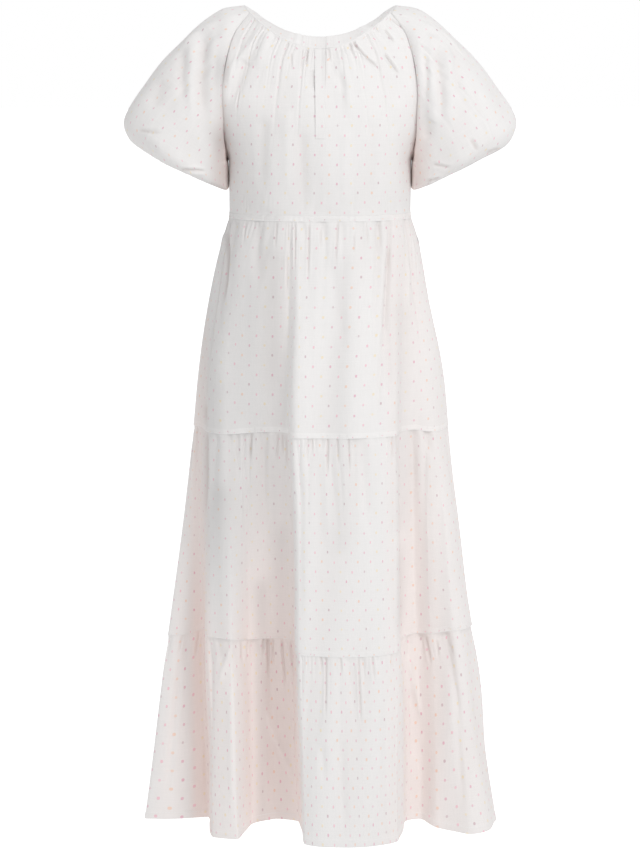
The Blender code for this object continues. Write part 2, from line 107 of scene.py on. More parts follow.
# lines of the big folds from the left side seam over the front to the right one and back: place
# across at three heights in half widths, how far the cloth falls in at the hem, its rise there, and
# how much the knee seam is lifted. In front come the left panel, a narrow flute, the recess, the wide
# flute, the right recess and the right flute
FRONT_FOLDS = (
    # waist, hip, hem, inward, rise, lift
    (-1.0, -1.0, -1.0, 0.0, 0.004, 0.0), (-0.997, -0.975, -0.82, 0.09, 0.006, 0.0),
    (-0.99, -0.925, -0.64, 0.12, 0.008, 0.008), (-0.975, -0.87, -0.604, 0.03, 0.0, 0.02),
    (-0.86, -0.72, -0.465, 0.028, 0.0, 0.018), (-0.7, -0.54, -0.38, 0.1, 0.008, 0.002),
    (-0.52, -0.4, -0.235, 0.115, 0.012, 0.0), (-0.355, -0.27, -0.12, 0.11, 0.01, 0.0),
    (-0.205, -0.165, -0.09, 0.014, 0.0, 0.0), (0.31, 0.16, 0.18, -0.003, -0.002, 0.0),
    (0.82, 0.555, 0.44, 0.01, 0.002, 0.0), (0.887, 0.64, 0.482, 0.092, 0.012, 0.002),
    (0.928, 0.735, 0.565, 0.101, 0.012, 0.006), (0.958, 0.815, 0.665, 0.066, 0.004, 0.014),
    (0.982, 0.905, 0.835, 0.022, -0.002, 0.026), (0.996, 0.97, 0.955, 0.006, 0.0, 0.024),
)
BACK_FOLDS = (
    # waist, hip, hem, inward, rise, lift
    (1.0, 1.0, 1.0, 0.0, 0.002, 0.02), (0.9, 0.84, 0.79, 0.072, 0.008, 0.01),
    (0.76, 0.69, 0.64, 0.01, 0.0, 0.0), (0.56, 0.49, 0.47, 0.006, 0.0, 0.0),
    (0.44, 0.39, 0.4, 0.086, 0.009, 0.0), (0.3, 0.27, 0.27, 0.092, 0.01, 0.0),
    (0.18, 0.17, 0.19, 0.008, 0.0, 0.0), (-0.1, -0.11, -0.1, 0.004, 0.0, 0.0),
    (-0.2, -0.19, -0.165, 0.08, 0.009, 0.0), (-0.35, -0.33, -0.31, 0.088, 0.009, 0.0),
    (-0.47, -0.43, -0.4, 0.01, 0.0, 0.0), (-0.69, -0.64, -0.61, 0.008, 0.0, 0.0),
    (-0.84, -0.78, -0.72, 0.078, 0.008, 0.0), (-0.955, -0.935, -0.9, 0.012, 0.0, 0.0),
)
FOLD_GROWTH = (
    # height, share
    (-0.326, 0.0), (-0.493, 0.1), (-0.662, 0.3), (-1.019, 0.8), (-1.327, 1.0),
)
RAGLAN = (
    # height, across, depth
    (-0.041, 0.1355, 0.052), (-0.09, 0.1494, 0.063), (-0.132, 0.1565, 0.064), (-0.173, 0.1562, 0.053),
    (-0.217, 0.149, 0.03), (-0.238, 0.1456, 0.0),
)
BODICE_MIDDLE = (
    # share, front depth, back depth, height
    (0.0, 0.087, 0.0885, -0.0613), (0.25, 0.104, 0.103, -0.1169), (0.5, 0.113, 0.108, -0.1855),
    (0.75, 0.112, 0.104, -0.2564), (1.0, 0.108, 0.1, -0.326),
)
SLEEVE = (
    # share, top across, top height, under across, under height, half depth
    (0.0, 0.1197, 0.006, 0.1456, -0.2376, 0.06), (0.1, 0.15, 0.002, 0.1478, -0.2425, 0.077),
    (0.28, 0.216, -0.0467, 0.1474, -0.2494, 0.094), (0.48, 0.2745, -0.112, 0.1472, -0.2563, 0.101),
    (0.68, 0.314, -0.1796, 0.1471, -0.269, 0.098), (0.8, 0.306, -0.2051, 0.1473, -0.2815, 0.088),
    (0.9, 0.284, -0.2204, 0.152, -0.287, 0.071), (1.0, 0.2556, -0.2228, 0.1769, -0.2603, 0.047),
)
CASING_PROFILE = (
    # share of the height, swell, depth of the ruching
    (-0.03, -1.5, 0.2), (0.0, 0.1, 0.4), (0.03, 0.7, 0.7), (0.10, 1.0, 1.0), (0.2, 1.0, 1.0),
    (0.35, 0.9, 0.8), (0.5, 0.8, 0.8), (0.65, 0.7, 0.9), (0.8, 0.5, 1.0), (0.9, 0.3, 0.8),
    (0.97, 0.1, 0.4), (1.02, 0.0, 0.1),
)
CUFF_PROFILE = (
    # share of the height, swell
    (1.0, 0.0), (0.9, 0.4), (0.7, 0.5), (0.5, 0.5), (0.3, 0.5), (0.1, 0.4), (0.0, 0.0),
)
BAND_PROFILE = (
    # share of the height above the seam, swell
    (0.50, -0.4), (0.42, 0.15), (0.22, 0.4), (0.0, 0.6), (-0.22, 0.8), (-0.42, 0.9), (-0.485, 0.5),
    (-0.50, -0.8),
)
HEM_ROWS = (1.5, 1.12, 1.0, 0.85, 0.5, 0.18, 0.05, 0.0)  # in heights of the turned hem
# columns and rows of the grids that the cloth is made on
BODICE_GRIDS = (
    # name, face, columns, rows
    ("front", -1, 341, 110), ("back", 1, 181, 60),
)
PANEL_GRIDS = (
    # name, place of its side seam as a share of the way round, columns
    ("front", 0.0, 601), ("back", 0.5, 251),
)
PANEL_ROWS = 47
SLEEVE_COLUMNS = 241
CUFF_COLUMNS = 201
CASING_COLUMNS = 481
BAND_COLUMNS = 521
PLACKET_ROWS = 110
TIERS = (
    # top, bottom, count of fine gathers round the skirt
    (WAIST, HIP_LINE, 84), (HIP_LINE, KNEE_LINE, 104), (KNEE_LINE, HEM, 132),
)
# uneven gathers: count, height of the relief and reach from the seam
BODICE_GATHERS = ((31, 0.0024, 0.028), (14, 0.0032, 0.070))
WAIST_GATHERS = ((26, 0.0014, 0.030),)
SLEEVE_GATHERS = ((30, 0.0026, 0.045), (15, 0.0038, 0.110))
CUFF_GATHERS = ((40, 0.0008, 0.030), (19, 0.0014, 0.075))
TIER_GATHERS = ((48, 0.0032, 0.070), (26, 0.0050, 0.180))

# ---- creases: width and height of the relief (a trough is negative), then places across and up the dress, all in millimetres, from the end where the crease starts
TIER_CREASES = {
    "tier_1": (
        (2.6, -3.4, (-150, -352), (-149, -424), (-156, -472)), (2.9, -3.2, (-183, -625), (-181, -658)),
        (1.5, -1.2, (-53, -383), (-55, -449)), (1.5, -1.4, (-39, -333), (-41, -408)),
        (1.5, -1.2, (112, -372), (112, -408)), (8, -4.0, (-98, -330), (-101, -434)),
        (24, -7.0, (-78, -368), (-85, -645)), (11, 3.0, (-34, -334), (-32, -652)),
        (1.5, -1.7, (-17, -332), (-19, -431)), (1.3, -1.2, (1, -343), (1, -371)),
        (1.6, -1.9, (28, -330), (24, -403)), (9, -2.6, (21, -402), (34, -498), (37, -544)),
        (1.3, -1.2, (54, -350), (54, -382)), (6, -4.0, (112, -372), (106, -475), (112, -643)),
        (3.2, 2.2, (143, -400), (144, -478)), (1.4, -1.3, (-68, -332), (-71, -375)),
        (1.4, -1.2, (73, -332), (76, -368)), (1.4, -1.2, (95, -330), (98, -378)),
        (1.4, -1.3, (-50, -332), (-51, -364)), (1.4, -1.2, (-118, -333), (-120, -369)),
    ),
    "tier_2": (
        (1.6, -1.7, (-108, -664), (-112, -713)), (1.4, -1.7, (-67, -667), (-69, -713)),
        (1.4, -1.6, (-61, -668), (-59, -704)), (1.4, -1.6, (-55, -668), (-53, -725)),
        (1.5, -1.7, (-46, -666), (-43, -730)), (1.4, -1.6, (-19, -664), (-21, -706)),
        (1.4, -1.6, (-13, -664), (-12, -694)), (1.6, -1.9, (12, -664), (11, -733)),
        (1.4, -1.6, (27, -664), (29, -712)), (1.4, -1.6, (45, -663), (47, -724)),
        (1.5, -1.7, (113, -662), (112, -708)), (1.5, -1.7, (122, -660), (122, -699)),
        (5, -4.0, (173, -662), (176, -705)), (8, -3.0, (-91, -676), (-99, -875)),
        (2.9, -3.4, (-181, -668), (-181, -741), (-186, -814)), (9, 2.5, (4, -670), (17, -862)),
        (8, -2.5, (67, -671), (76, -830)), (7, -3.0, (-31, -719), (-31, -992)),
        (7, 2.5, (115, -721), (121, -996)),
    ),
    "tier_3": (
        (4, 3.0, (-145, -1013), (-148, -1028), (-168, -1078)), (1.9, -1.9, (-126, -1010), (-125, -1045)),
        (1.7, -1.6, (-116, -1008), (-119, -1042)), (1.9, -2.0, (-92, -1004), (-92, -1038)),
        (1.9, -2.0, (-85, -1009), (-83, -1079)), (1.7, -1.9, (-77, -1009), (-76, -1059)),
        (1.7, -2.2, (-62, -1008), (-56, -1096)), (1.7, -1.9, (-49, -1010), (-44, -1070)),
        (1.7, -1.4, (-38, -1010), (-31, -1039)),
        (6, 5.0, (-84, -1134), (-76, -1173), (-57, -1217), (-30, -1258)),
        (1.6, -1.7, (9, -1014), (9, -1122)), (1.6, -1.7, (61, -1018), (66, -1133)),
        (6, -2.6, (4, -1165), (6, -1225)), (1.7, -1.7, (1, -1014), (2, -1043)),
        (5, 4.0, (140, -1039), (150, -1081), (166, -1149)), (9, -5.0, (148, -1095), (154, -1224)),
        (2.0, -2.3, (169, -1006), (178, -1053)), (1.7, -1.6, (186, -1011), (191, -1041)),
        (1.7, -1.6, (209, -1015), (216, -1033)), (1.7, -1.4, (32, -1015), (34, -1048)),
        (1.7, -1.4, (83, -1014), (87, -1060)), (1.7, -1.4, (113, -1012), (114, -1044)),
        (1.7, -1.6, (-198, -1007), (-205, -1054)), (1.7, -1.4, (-223, -1008), (-232, -1048)),
        (6, -3.0, (-176, -1013), (-188, -1308)), (6, 2.0, (-143, -1082), (-141, -1312)),
        (7, -2.0, (33, -1152), (39, -1316)), (7, 2.0, (104, -1089), (110, -1319)),
        (6, -2.5, (219, -1075), (232, -1298)), (6, -2.5, (-228, -1055), (-254, -1307)),
    ),
}
# painted shade along strokes on the front of the skirt and of each sleeve, and painted light where the
# strength is negative: width, strength, then places as above
TIER_PAINTED_SHADES = (
    (17, 0.06, (34, -400), (32, -830)), (15, 0.05, (127, -480), (129, -800)),
    (14, -0.05, (-157, -430), (-157, -560)), (15, 0.1, (-157, -770), (-157, -1010)),
    (3, 0.05, (-149, -352), (-156, -478)), (13, 0.14, (-95, -930), (-95, -1330)),
    (11, -0.06, (-33, -1100), (-33, -1330)), (10, -0.07, (-62, -680), (-62, -800)),
    (10, -0.04, (-125, -670), (-125, -730)), (8, 0.08, (129, -880), (129, -960)),
    (10, -0.04, (186, -780), (192, -1330)), (10, -0.045, (158, -770), (159, -920)),
    (10, -0.03, (-221, -890), (-236, -1060)),
)
SLEEVE_PAINTED_SHADES = {
    "left": (
        (14, 0.09, (-158, -35), (-156, -95)), (9, 0.05, (-178, -40), (-176, -175)),
        (12, 0.12, (-154, -95), (-156, -205)), (18, 0.18, (-158, -205), (-158, -280)),
        (60, 0.025, (-205, -90), (-205, -200)), (9, 0.07, (-190, -16), (-304, -158)),
    ),
    "right": (
        (12, -0.04, (160, -60), (160, -200)), (9, 0.05, (176, -150), (166, -205)),
        (14, -0.03, (178, -220), (184, -250)),
    ),
}
BODICE_CREASES = (
    (10, 5.0, (-82, -33), (-89, -63), (-102, -94)), (6, 4.0, (-95, -36), (-136, -90), (-142, -138)),
    (9, -5.0, (-117, -78), (-131, -117), (-142, -147)), (1.4, -1.2, (-127, -129), (-131, -160)),
    (1.4, -1.2, (-45, -68), (-44, -94)), (1.4, -1.2, (-27, -62), (-30, -99)),
    (1.4, -1.2, (-20, -61), (-21, -88)), (1.4, -1.2, (13, -60), (16, -82)),
    (1.2, -2.1, (52, -52), (73, -76), (98, -96)), (1.2, -2.0, (80, -15), (94, -38)),
    (1.2, -1.9, (101, -33), (116, -54)), (1.4, -1.6, (113, -16), (131, -31)),
    (1.2, -2.3, (101, -70), (125, -103)), (8, 3.0, (26, -79), (42, -119), (47, -171)),
    (8, -3.0, (18, -64), (29, -104), (44, -134)), (7, -2.5, (-12, -94), (-10, -128)),
    (9, -3.0, (-90, -169), (-90, -297)), (10, 2.5, (-53, -156), (-50, -304)),
    (9, -2.5, (-30, -187), (-26, -318)), (9, 2.5, (40, -187), (38, -315)),
    (9, -2.5, (82, -172), (76, -315)), (10, 2.0, (118, -141), (124, -298)),
)
SLEEVE_CREASES = {
    "left": (
        (5, 3.5, (-158, -18), (-196, -44), (-235, -76)),
        (12, -4.0, (-180, -33), (-182, -65), (-193, -88)), (10, 3.0, (-164, -41), (-165, -67)),
        (7, -3.6, (-217, -62), (-219, -99), (-214, -150)),
        (7, -4.2, (-184, -42), (-186, -116), (-181, -175)),
        (5, -3.5, (-160, -79), (-162, -110), (-159, -138)), (2.2, -1.8, (-285, -189), (-245, -193)),
        (9, 2.0, (-274, -197), (-240, -213)), (2.4, -2.0, (-219, -251), (-176, -253)),
        (7, 3.4, (-201, -55), (-203, -126), (-198, -180)),
        (7, 2.6, (-167, -60), (-168, -141), (-168, -200)), (10, -3.0, (-251, -111), (-265, -157)),
    ),
    "right": (
        (5, 3.5, (164, -21), (202, -45), (236, -77)), (10, 3.0, (177, -42), (179, -69)),
        (7, -4.5, (211, -58), (216, -98), (213, -138)), (7, -4.5, (185, -51), (188, -117), (189, -181)),
        (5, -3.5, (164, -73), (167, -111), (164, -141)), (2.8, -2.0, (237, -203), (249, -222)),
        (2.4, -2.0, (170, -270), (190, -266)), (2.6, -1.8, (266, -226), (284, -217)),
        (9, -2.5, (176, -172), (160, -206)), (2.4, -1.6, (177, -243), (206, -249)),
        (10, 3.0, (201, -64), (205, -125), (201, -188)), (9, 3.0, (173, -79), (176, -140), (174, -203)),
        (9, -3.0, (243, -126), (254, -173)),
    ),
}


# ---- curves through table rows
def slopes(knots, values):
    """Slopes at the knots that keep a cubic from overshooting the values."""
    steps = np.diff(knots)
    rates = np.diff(values, axis=0) / steps[:, None]
    before, after = rates[:-1], rates[1:]
    same_way = before * after > 0
    weight_a = (2 * steps[1:] + steps[:-1])[:, None]
    weight_b = (steps[1:] + 2 * steps[:-1])[:, None]
    safe_a = np.where(same_way, before, 1.0)
    safe_b = np.where(same_way, after, 1.0)
    mean = (weight_a + weight_b) / (weight_a / safe_a + weight_b / safe_b)
    return np.vstack([rates[:1], np.where(same_way, mean, 0.0), rates[-1:]])


def smooth_table(knots, values, at):
    """Values read from a smooth, monotone cubic through a table's rows."""
    knots = np.asarray(knots, float)
    values = np.asarray(values, float)
    if values.ndim == 1:
        values = values[:, None]
    at = np.clip(np.atleast_1d(np.asarray(at, float)), knots[0], knots[-1])
    tangents = slopes(knots, values)
    left = np.clip(np.searchsorted(knots, at, side="right") - 1, 0, len(knots) - 2)
    width = (knots[left + 1] - knots[left])[:, None]
    share = (at - knots[left])[:, None] / width
    return (
        values[left] * (1 + 2 * share) * (1 - share) ** 2
        + values[left + 1] * share**2 * (3 - 2 * share)
        + tangents[left] * width * share * (1 - share) ** 2
        - tangents[left + 1] * width * share**2 * (1 - share)
    )


def read_table(table, at):
    """The other columns of a table at one place in its first column, which may run down."""
    rows = np.array(sorted(table))
    return smooth_table(rows[:, 0], rows[:, 1:], at)[0]


def signed_power(values, power):
    return np.sign(values) * np.abs(values) ** power


def unit(vectors):
    """Vectors of length one, row by row."""
    return vectors / np.linalg.norm(vectors, axis=-1, keepdims=True)


def ease(share):
    """A soft step from 0 to 1."""
    share = np.clip(share, 0, 1)
    return share * share * (3 - 2 * share)


def between(value, start, rise, end, fall):
    """A soft window: up over rise from its start, and down over fall to its end."""
    return ease((value - start) / rise) * ease((end - value) / fall)


def bell(value, width):
    """A soft bump of height 1 round the place where the value is 0."""
    return np.exp(-((value / width) ** 2))


def outward_of(points):
    """Outward normals of a grid whose rows run down and whose columns run from left to right."""
    return unit(np.cross(np.gradient(points, axis=0), np.gradient(points, axis=1)))


def lengths_down(points):
    """Length of the cloth from the first row, down each column."""
    steps = np.linalg.norm(np.diff(points, axis=0), axis=2)
    return np.vstack([np.zeros((1, points.shape[1])), np.cumsum(steps, axis=0)])


def length_along(row):
    """Length of the cloth along one row of points."""
    return np.cumsum(np.linalg.norm(np.gradient(row, axis=0), axis=1))


def on_flat(across, down):
    """Places on the flat cloth for a grid of points."""
    return np.dstack(np.broadcast_arrays(across, down))


# ---- uneven relief
def uneven_wave(places, counts, seed):
    """An uneven wave of about unit height that closes on itself when places go from 0 to 1."""
    draw = np.random.default_rng(seed)
    total = np.zeros_like(places)
    for _ in range(8):
        count = draw.integers(counts[0], counts[1] + 1)
        total += np.cos(2 * pi * count * places + draw.uniform(0, 2 * pi))
    return total / 2


def gathers(places, below, rows, seed):
    """Uneven gathers below a seam, of one or more sizes: soft crests between narrow troughs that fade
    on the way down."""
    relief = 0.0
    for order, (count, height, reach) in enumerate(rows):
        seeds = seed + 20 * order
        drift = uneven_wave(places, (3, 9), seeds) * np.minimum(below / reach, 2.0) * 0.3 / count
        swing = 1.5 * uneven_wave(places, (5, 14), seeds + 1)
        phase = pi * count * (places + drift) + swing
        trough = 1 - np.sqrt(np.cos(phase) ** 2 + 0.015)
        strength = np.clip(0.6 + 0.45 * uneven_wave(places, (4, 12), seeds + 2), 0.12, 1.3)
        run = reach * np.clip(0.8 + 0.45 * uneven_wave(places, (7, 22), seeds + 3), 0.3, 1.7)
        relief = relief - height * strength * trough * ease(below / 0.006) * bell(below, run)
    return relief


def soft_swell(points, width, rise, seed):
    """A slow swell of the cloth of about unit height, shorter across the dress than down it."""
    draw = np.random.default_rng(seed)
    total = np.zeros(points.shape[:-1])
    for _ in range(7):
        way = draw.uniform(0, 2 * pi)
        wave = np.array([cos(way) / width, sin(way) / width, draw.uniform(-1, 1) / rise])
        wave *= 2 * pi * draw.uniform(0.6, 1.3)
        total += np.cos(points @ wave + draw.uniform(0, 2 * pi))
    return total / 2


def bodice_swell(points):
    """The swell of the bodice's cloth, which the placket follows."""
    return 0.0016 * soft_swell(points, 0.10, 0.25, 5)


def skirt_swell(points):
    """The swell of the skirt's cloth, which runs on through its seams and fades at the waist."""
    return 0.0022 * soft_swell(points, 0.085, 0.40, 41) * ease((WAIST - 0.004 - points[..., 2]) / 0.05)


def crease_relief(points, creases):
    """Height of the listed creases at each point of a grid, and a mask of thin lines along narrow troughs,
    which gets painted shade and warmth.
    """
    across, height = points[..., 0] * 1000, points[..., 2] * 1000
    total = np.zeros(across.shape)
    lines = np.zeros(across.shape)
    for width, tall, *places in creases:
        places = np.array(places, float)
        runs = np.linalg.norm(np.diff(places, axis=0), axis=1)
        nearest = np.full(across.shape, 1e9)
        share = np.zeros(across.shape)
        done = 0.0
        for start, end, run in zip(places, places[1:], runs):
            way = end - start
            along = ((across - start[0]) * way[0] + (height - start[1]) * way[1]) / run**2
            along = np.clip(along, 0, 1)
            gap = np.hypot(across - start[0] - along * way[0], height - start[1] - along * way[1])
            closer = gap < nearest
            nearest = np.where(closer, gap, nearest)
            share = np.where(closer, (done + along * run) / runs.sum(), share)
            done += run
        ends = np.minimum(1, 10 * share + 0.2) * ease(2.8 * (1 - share))
        trough = bell(nearest, width)
        # a narrow trough marks a thin line for painted shade and warmth, and gets a low ridge beside it
        if width < 3 and tall < 0:
            lines = np.maximum(lines, ends * trough * min(1.5, -tall / 1.8))
            trough -= 0.45 * bell(nearest - 2.1 * width, 1.1 * width)
        total += tall / 1000 * ends * trough
    return total, lines


def turned_round(creases, share, shift, drop):
    """The same kind of creases for a hidden side, mirrored, moved and a little weaker."""
    rows = []
    for width, tall, *places in creases:
        moved = [(-x * share + shift, z + drop) for x, z in places]
        rows.append((width * 1.1, tall * 0.85, *moved))
    return rows


def seam_bulge(beside, height, top=0.0):
    """How the cloth stands out beside the raglan seam, down to the underarm, not over the shoulder."""
    upper = between(-height, 0.06, 0.05, 0.215, 0.05) * (1 - top)
    lower = between(-height, 0.165, 0.04, 0.236, 0.02)
    bulge = 0.0034 * (1 - np.exp(-beside / 0.004)) * bell(beside, 0.035) * upper
    return bulge + 0.0016 * (1 - np.exp(-beside / 0.006)) * bell(beside, 0.03) * lower


def painted_shade_strokes(points, shades):
    """How much painted shade the cloth gets along the listed strokes in front, and painted light where a
    strength is negative.
    """
    across, height = points[..., 0] * 1000, points[..., 2] * 1000
    total = np.zeros(across.shape)
    for width, strength, start, end in shades:
        share = np.clip((height - start[1]) / (end[1] - start[1]), 0, 1)
        middle = start[0] + (end[0] - start[0]) * share
        beyond = np.maximum(height - start[1], end[1] - height) / 40
        total += strength * bell(across - middle, width) * (1 - ease(beyond))
    return total * (points[..., 1] < 0)


def painted_waist_shade(height):
    """How much painted shade the front gets just above and below the waist."""
    return 0.045 * bell(height + 0.31, 0.085)


# ---- the skirt's surface
def fold_points(level):
    """Across, forward (negative), rise and inward fall of each fold line at a height."""
    half_width, front, back = read_table(SKIRT_FORM, level)
    growth = read_table(FOLD_GROWTH, level)[0]
    knee = smooth_table((HEM, KNEE_SEAM, HIP_SEAM), (0, 1, 0), level)[0, 0]
    points = []
    for rows, face, depth in ((FRONT_FOLDS, -1, front), (BACK_FOLDS, 1, back)):
        for waist, hip, hem, inward, rise, lift in rows:
            share = smooth_table((HEM, HIP_SEAM, WAIST), (hem, hip, waist), level)[0, 0]
            out = depth * max(0.0, 1 - abs(share) ** FORM_POWER) ** (1 / FORM_POWER)
            fallen = growth * inward
            points.append((share * half_width, face * (out - fallen), growth * rise + knee * lift, fallen))
    return np.array(points)


def fold_places():
    """Share of the way round at each fold line: the side seams are at 0 and one half."""
    count = len(FRONT_FOLDS)
    lengths = 0.0
    for level in (WAIST, HIP_SEAM, HEM):
        points = fold_points(level)[:, :2]
        steps = np.linalg.norm(np.roll(points, -1, axis=0) - points, axis=1)
        lengths = lengths + steps / steps.sum()
    front = np.cumsum(lengths[:count]) / lengths[:count].sum() / 2
    back = np.cumsum(lengths[count:]) / lengths[count:].sum() / 2
    return np.concatenate([[0.0], front, 0.5 + back[:-1]])


PLACES = fold_places()


def skirt_ring(level, around):
    """Points round the skirt at a height, and how far the cloth has fallen in there."""
    points = fold_points(level)
    wrap = 3
    knots = np.concatenate([PLACES[-wrap:] - 1, PLACES, PLACES[:wrap] + 1])
    values = np.vstack([points[-wrap:], points, points[:wrap]])
    return smooth_table(knots, values, around) + np.array([0, 0, level, 0])


def ring_length(level):
    """Length of the way round the skirt at a height."""
    ring = skirt_ring(level, np.linspace(0, 1, 721))[:, :3]
    return np.linalg.norm(np.diff(ring, axis=0), axis=1).sum()


def painted_fold_glow(points, fallen):
    """How much painted warmth the skirt's cloth gets: a warm tint for the light deep in the folds and low in
    the left recess, and a little warmth on the right side.
    """
    across, height = points[..., 0], points[..., 2]
    outer = ease((-across - 0.170) / 0.012)
    panel = ease((-across - 0.20) / 0.02)
    right = ease((across - 0.09) / 0.03)
    low = ease((-height - 0.88) / 0.14)
    deep = 0.55 * ease((fallen + 0.045 * outer - 0.02) / 0.09) * (1 - 0.70 * panel) * (1 - 0.45 * right)
    front = points[..., 1] < 0
    return deep + (0.14 * right + 0.16 * ease((-across - 0.10) / 0.03) * low * (1 - panel)) * front


def painted_fold_shade(points):
    """How much painted shade the skirt's cloth gets where it turns away from the light, round the waist in
    front and along the strokes, where a negative strength paints light.
    """
    across, height = points[..., 0], points[..., 2]
    turned = between(-across, 0.045, 0.03, 0.21, 0.03) * (1 - ease((-height - 0.72) / 0.30))
    turned *= 1 - 0.35 * ease((height + 0.45) / 0.10)
    in_front = (0.16 * turned + painted_waist_shade(height)) * (points[..., 1] < 0)
    return in_front + painted_shade_strokes(points, TIER_PAINTED_SHADES)


# ---- the neck, bodice and sleeve surfaces
def neck_edge(angle):
    """The neck opening's edge: angle 0 is the wearer's left shoulder seen at +X, 90 deg the front."""
    dip = NECK_DIP_FRONT if sin(angle) > 0 else NECK_DIP_BACK
    across = NECK_HALF_WIDTH * cos(angle)
    forward = -NECK_HALF_DEPTH * sin(angle)
    return np.array([across, forward, -NECK_DROP - dip * sin(angle) ** 2])


def casing_fall(angle):
    """The way the casing lies, down and out from the neck's edge."""
    down = SHOULDER_FALL + (FRONT_FALL - SHOULDER_FALL) * sin(angle) ** 2
    level = sqrt(1 - down**2)
    way = atan2(sin(angle) * NECK_HALF_WIDTH, cos(angle) * NECK_HALF_DEPTH)
    return np.array([cos(way) * level, -sin(way) * level, -down])


def casing_bottom(angle):
    """The casing's lower edge, where the bodice and the sleeves are gathered to it."""
    return neck_edge(angle) + casing_fall(angle) * NECK_CASING


def raglan_seam(share):
    """A point of the right raglan seam in front: share 0 is the casing, 1 the underarm."""
    top = casing_bottom(SHOULDER_SEAM_ANGLE)
    rows = np.array([(top[2], top[0], -top[1])] + list(RAGLAN))
    runs = np.linalg.norm(np.diff(rows, axis=0), axis=1)
    knots = np.concatenate([[0], np.cumsum(runs) / runs.sum()])
    height, across, depth = smooth_table(knots, rows, share)[0]
    return np.array([across, -depth, height])


def bodice_edge(share, face):
    """The bodice's right edge: along the raglan seam, then down the side seam to the waist."""
    if share <= ARMHOLE_SHARE:
        return raglan_seam(share / ARMHOLE_SHARE) * np.array([1, -face, 1])
    down = (share - ARMHOLE_SHARE) / (1 - ARMHOLE_SHARE)
    under = raglan_seam(1.0)
    across = under[0] + (SKIRT_FORM[0][1] - under[0]) * down
    return np.array([across, 0.0, under[2] + (WAIST - under[2]) * down])


def bodice_row(share, face, turn):
    """Points across a row of the bodice: turn 0 is its right edge, 1 its left; face is -1 in front."""
    front, back, height = read_table(BODICE_MIDDLE, share)
    depth = front if face < 0 else back
    edge = bodice_edge(share, face)
    power = 2.0 + (FORM_POWER - 2.0) * share
    low = np.arcsin(min(1.0, (abs(edge[1]) / depth) ** (power / 2)))
    angle = low + (pi - 2 * low) * turn
    wide = edge[0] / cos(low) ** (2 / power)
    across = wide * signed_power(np.cos(angle), 2 / power)
    forward = face * depth * signed_power(np.sin(angle), 2 / power)
    middle = (np.sin(angle) ** 2 - sin(low) ** 2) / (1 - sin(low) ** 2)
    return np.column_stack([across, forward, edge[2] + (height - edge[2]) * middle])


def fitted_rows(first, row_at, shares, fit):
    """Rows of a surface, drawn to the seam that is its first row over the share fit."""
    gap = first - row_at(0.0)
    return np.array([row_at(share) + max(0.0, 1 - share / fit) ** 2 * gap for share in shares])


def bodice_surface(face, turn, shares):
    """Rows of the bodice from the casing to the waist, fitted to the casing at the top."""
    angles = SHOULDER_SEAM_ANGLE + (pi - 2 * SHOULDER_SEAM_ANGLE) * turn
    casing = np.array([casing_bottom(-face * angle) for angle in angles])
    return fitted_rows(casing, lambda share: bodice_row(share, face, turn), shares, CASING_FIT)


def armhole_loop(angle):
    """The seam round the sleeve's top: angle 0 is the shoulder, 180 deg the underarm."""
    size = abs(angle)
    if size < SLEEVE_NECK_SHARE:
        return casing_bottom(SHOULDER_SEAM_ANGLE * angle / SLEEVE_NECK_SHARE)
    point = raglan_seam(min(1.0, (size - SLEEVE_NECK_SHARE) / (pi - SLEEVE_NECK_SHARE)))
    if angle < 0:
        point[1] = -point[1]
    return point


def sleeve_row(share, angles):
    """An oval ring of the sleeve: share 0 is the armhole, 1 the cuff."""
    top_x, top_z, under_x, under_z, depth = read_table(SLEEVE, share)
    middle = np.array([(top_x + under_x) / 2, 0, (top_z + under_z) / 2])
    half = np.array([(top_x - under_x) / 2, 0, (top_z - under_z) / 2])
    forward = np.array([0, -depth, 0])
    return middle + np.outer(np.cos(angles), half) + np.outer(np.sin(angles), forward)


def sleeve_surface(angles, shares):
    """Rings of the +X sleeve from the armhole to the cuff."""
    loop = np.array([armhole_loop(angle) for angle in angles])
    points = fitted_rows(loop, lambda share: sleeve_row(share, angles), shares, ARMHOLE_FIT)
    level = unit(points[0] * np.array([1, 1, 0]))
    plain = 0.5 - 0.5 * np.cos(angles)
    points[0] += (0.2 * unit(points[1] - points[0]) + level) * SEAM_GAP * plain[:, None]
    return points


# ---- turning grids of points into pieces
# marks on each point: painted warmth, a warm tint for the light deep in folds; painted shade, which paints
# light where it is negative; and where the nearest row of stitches runs
MARKS = ("painted_warmth", "painted_shade", "stitch_across", "stitch_along")


def put_in_scene(name, data):
    """A new object for a mesh, a light or a camera."""
    made = bpy.data.objects.new(name, data)
    bpy.context.scene.collection.objects.link(made)
    return made


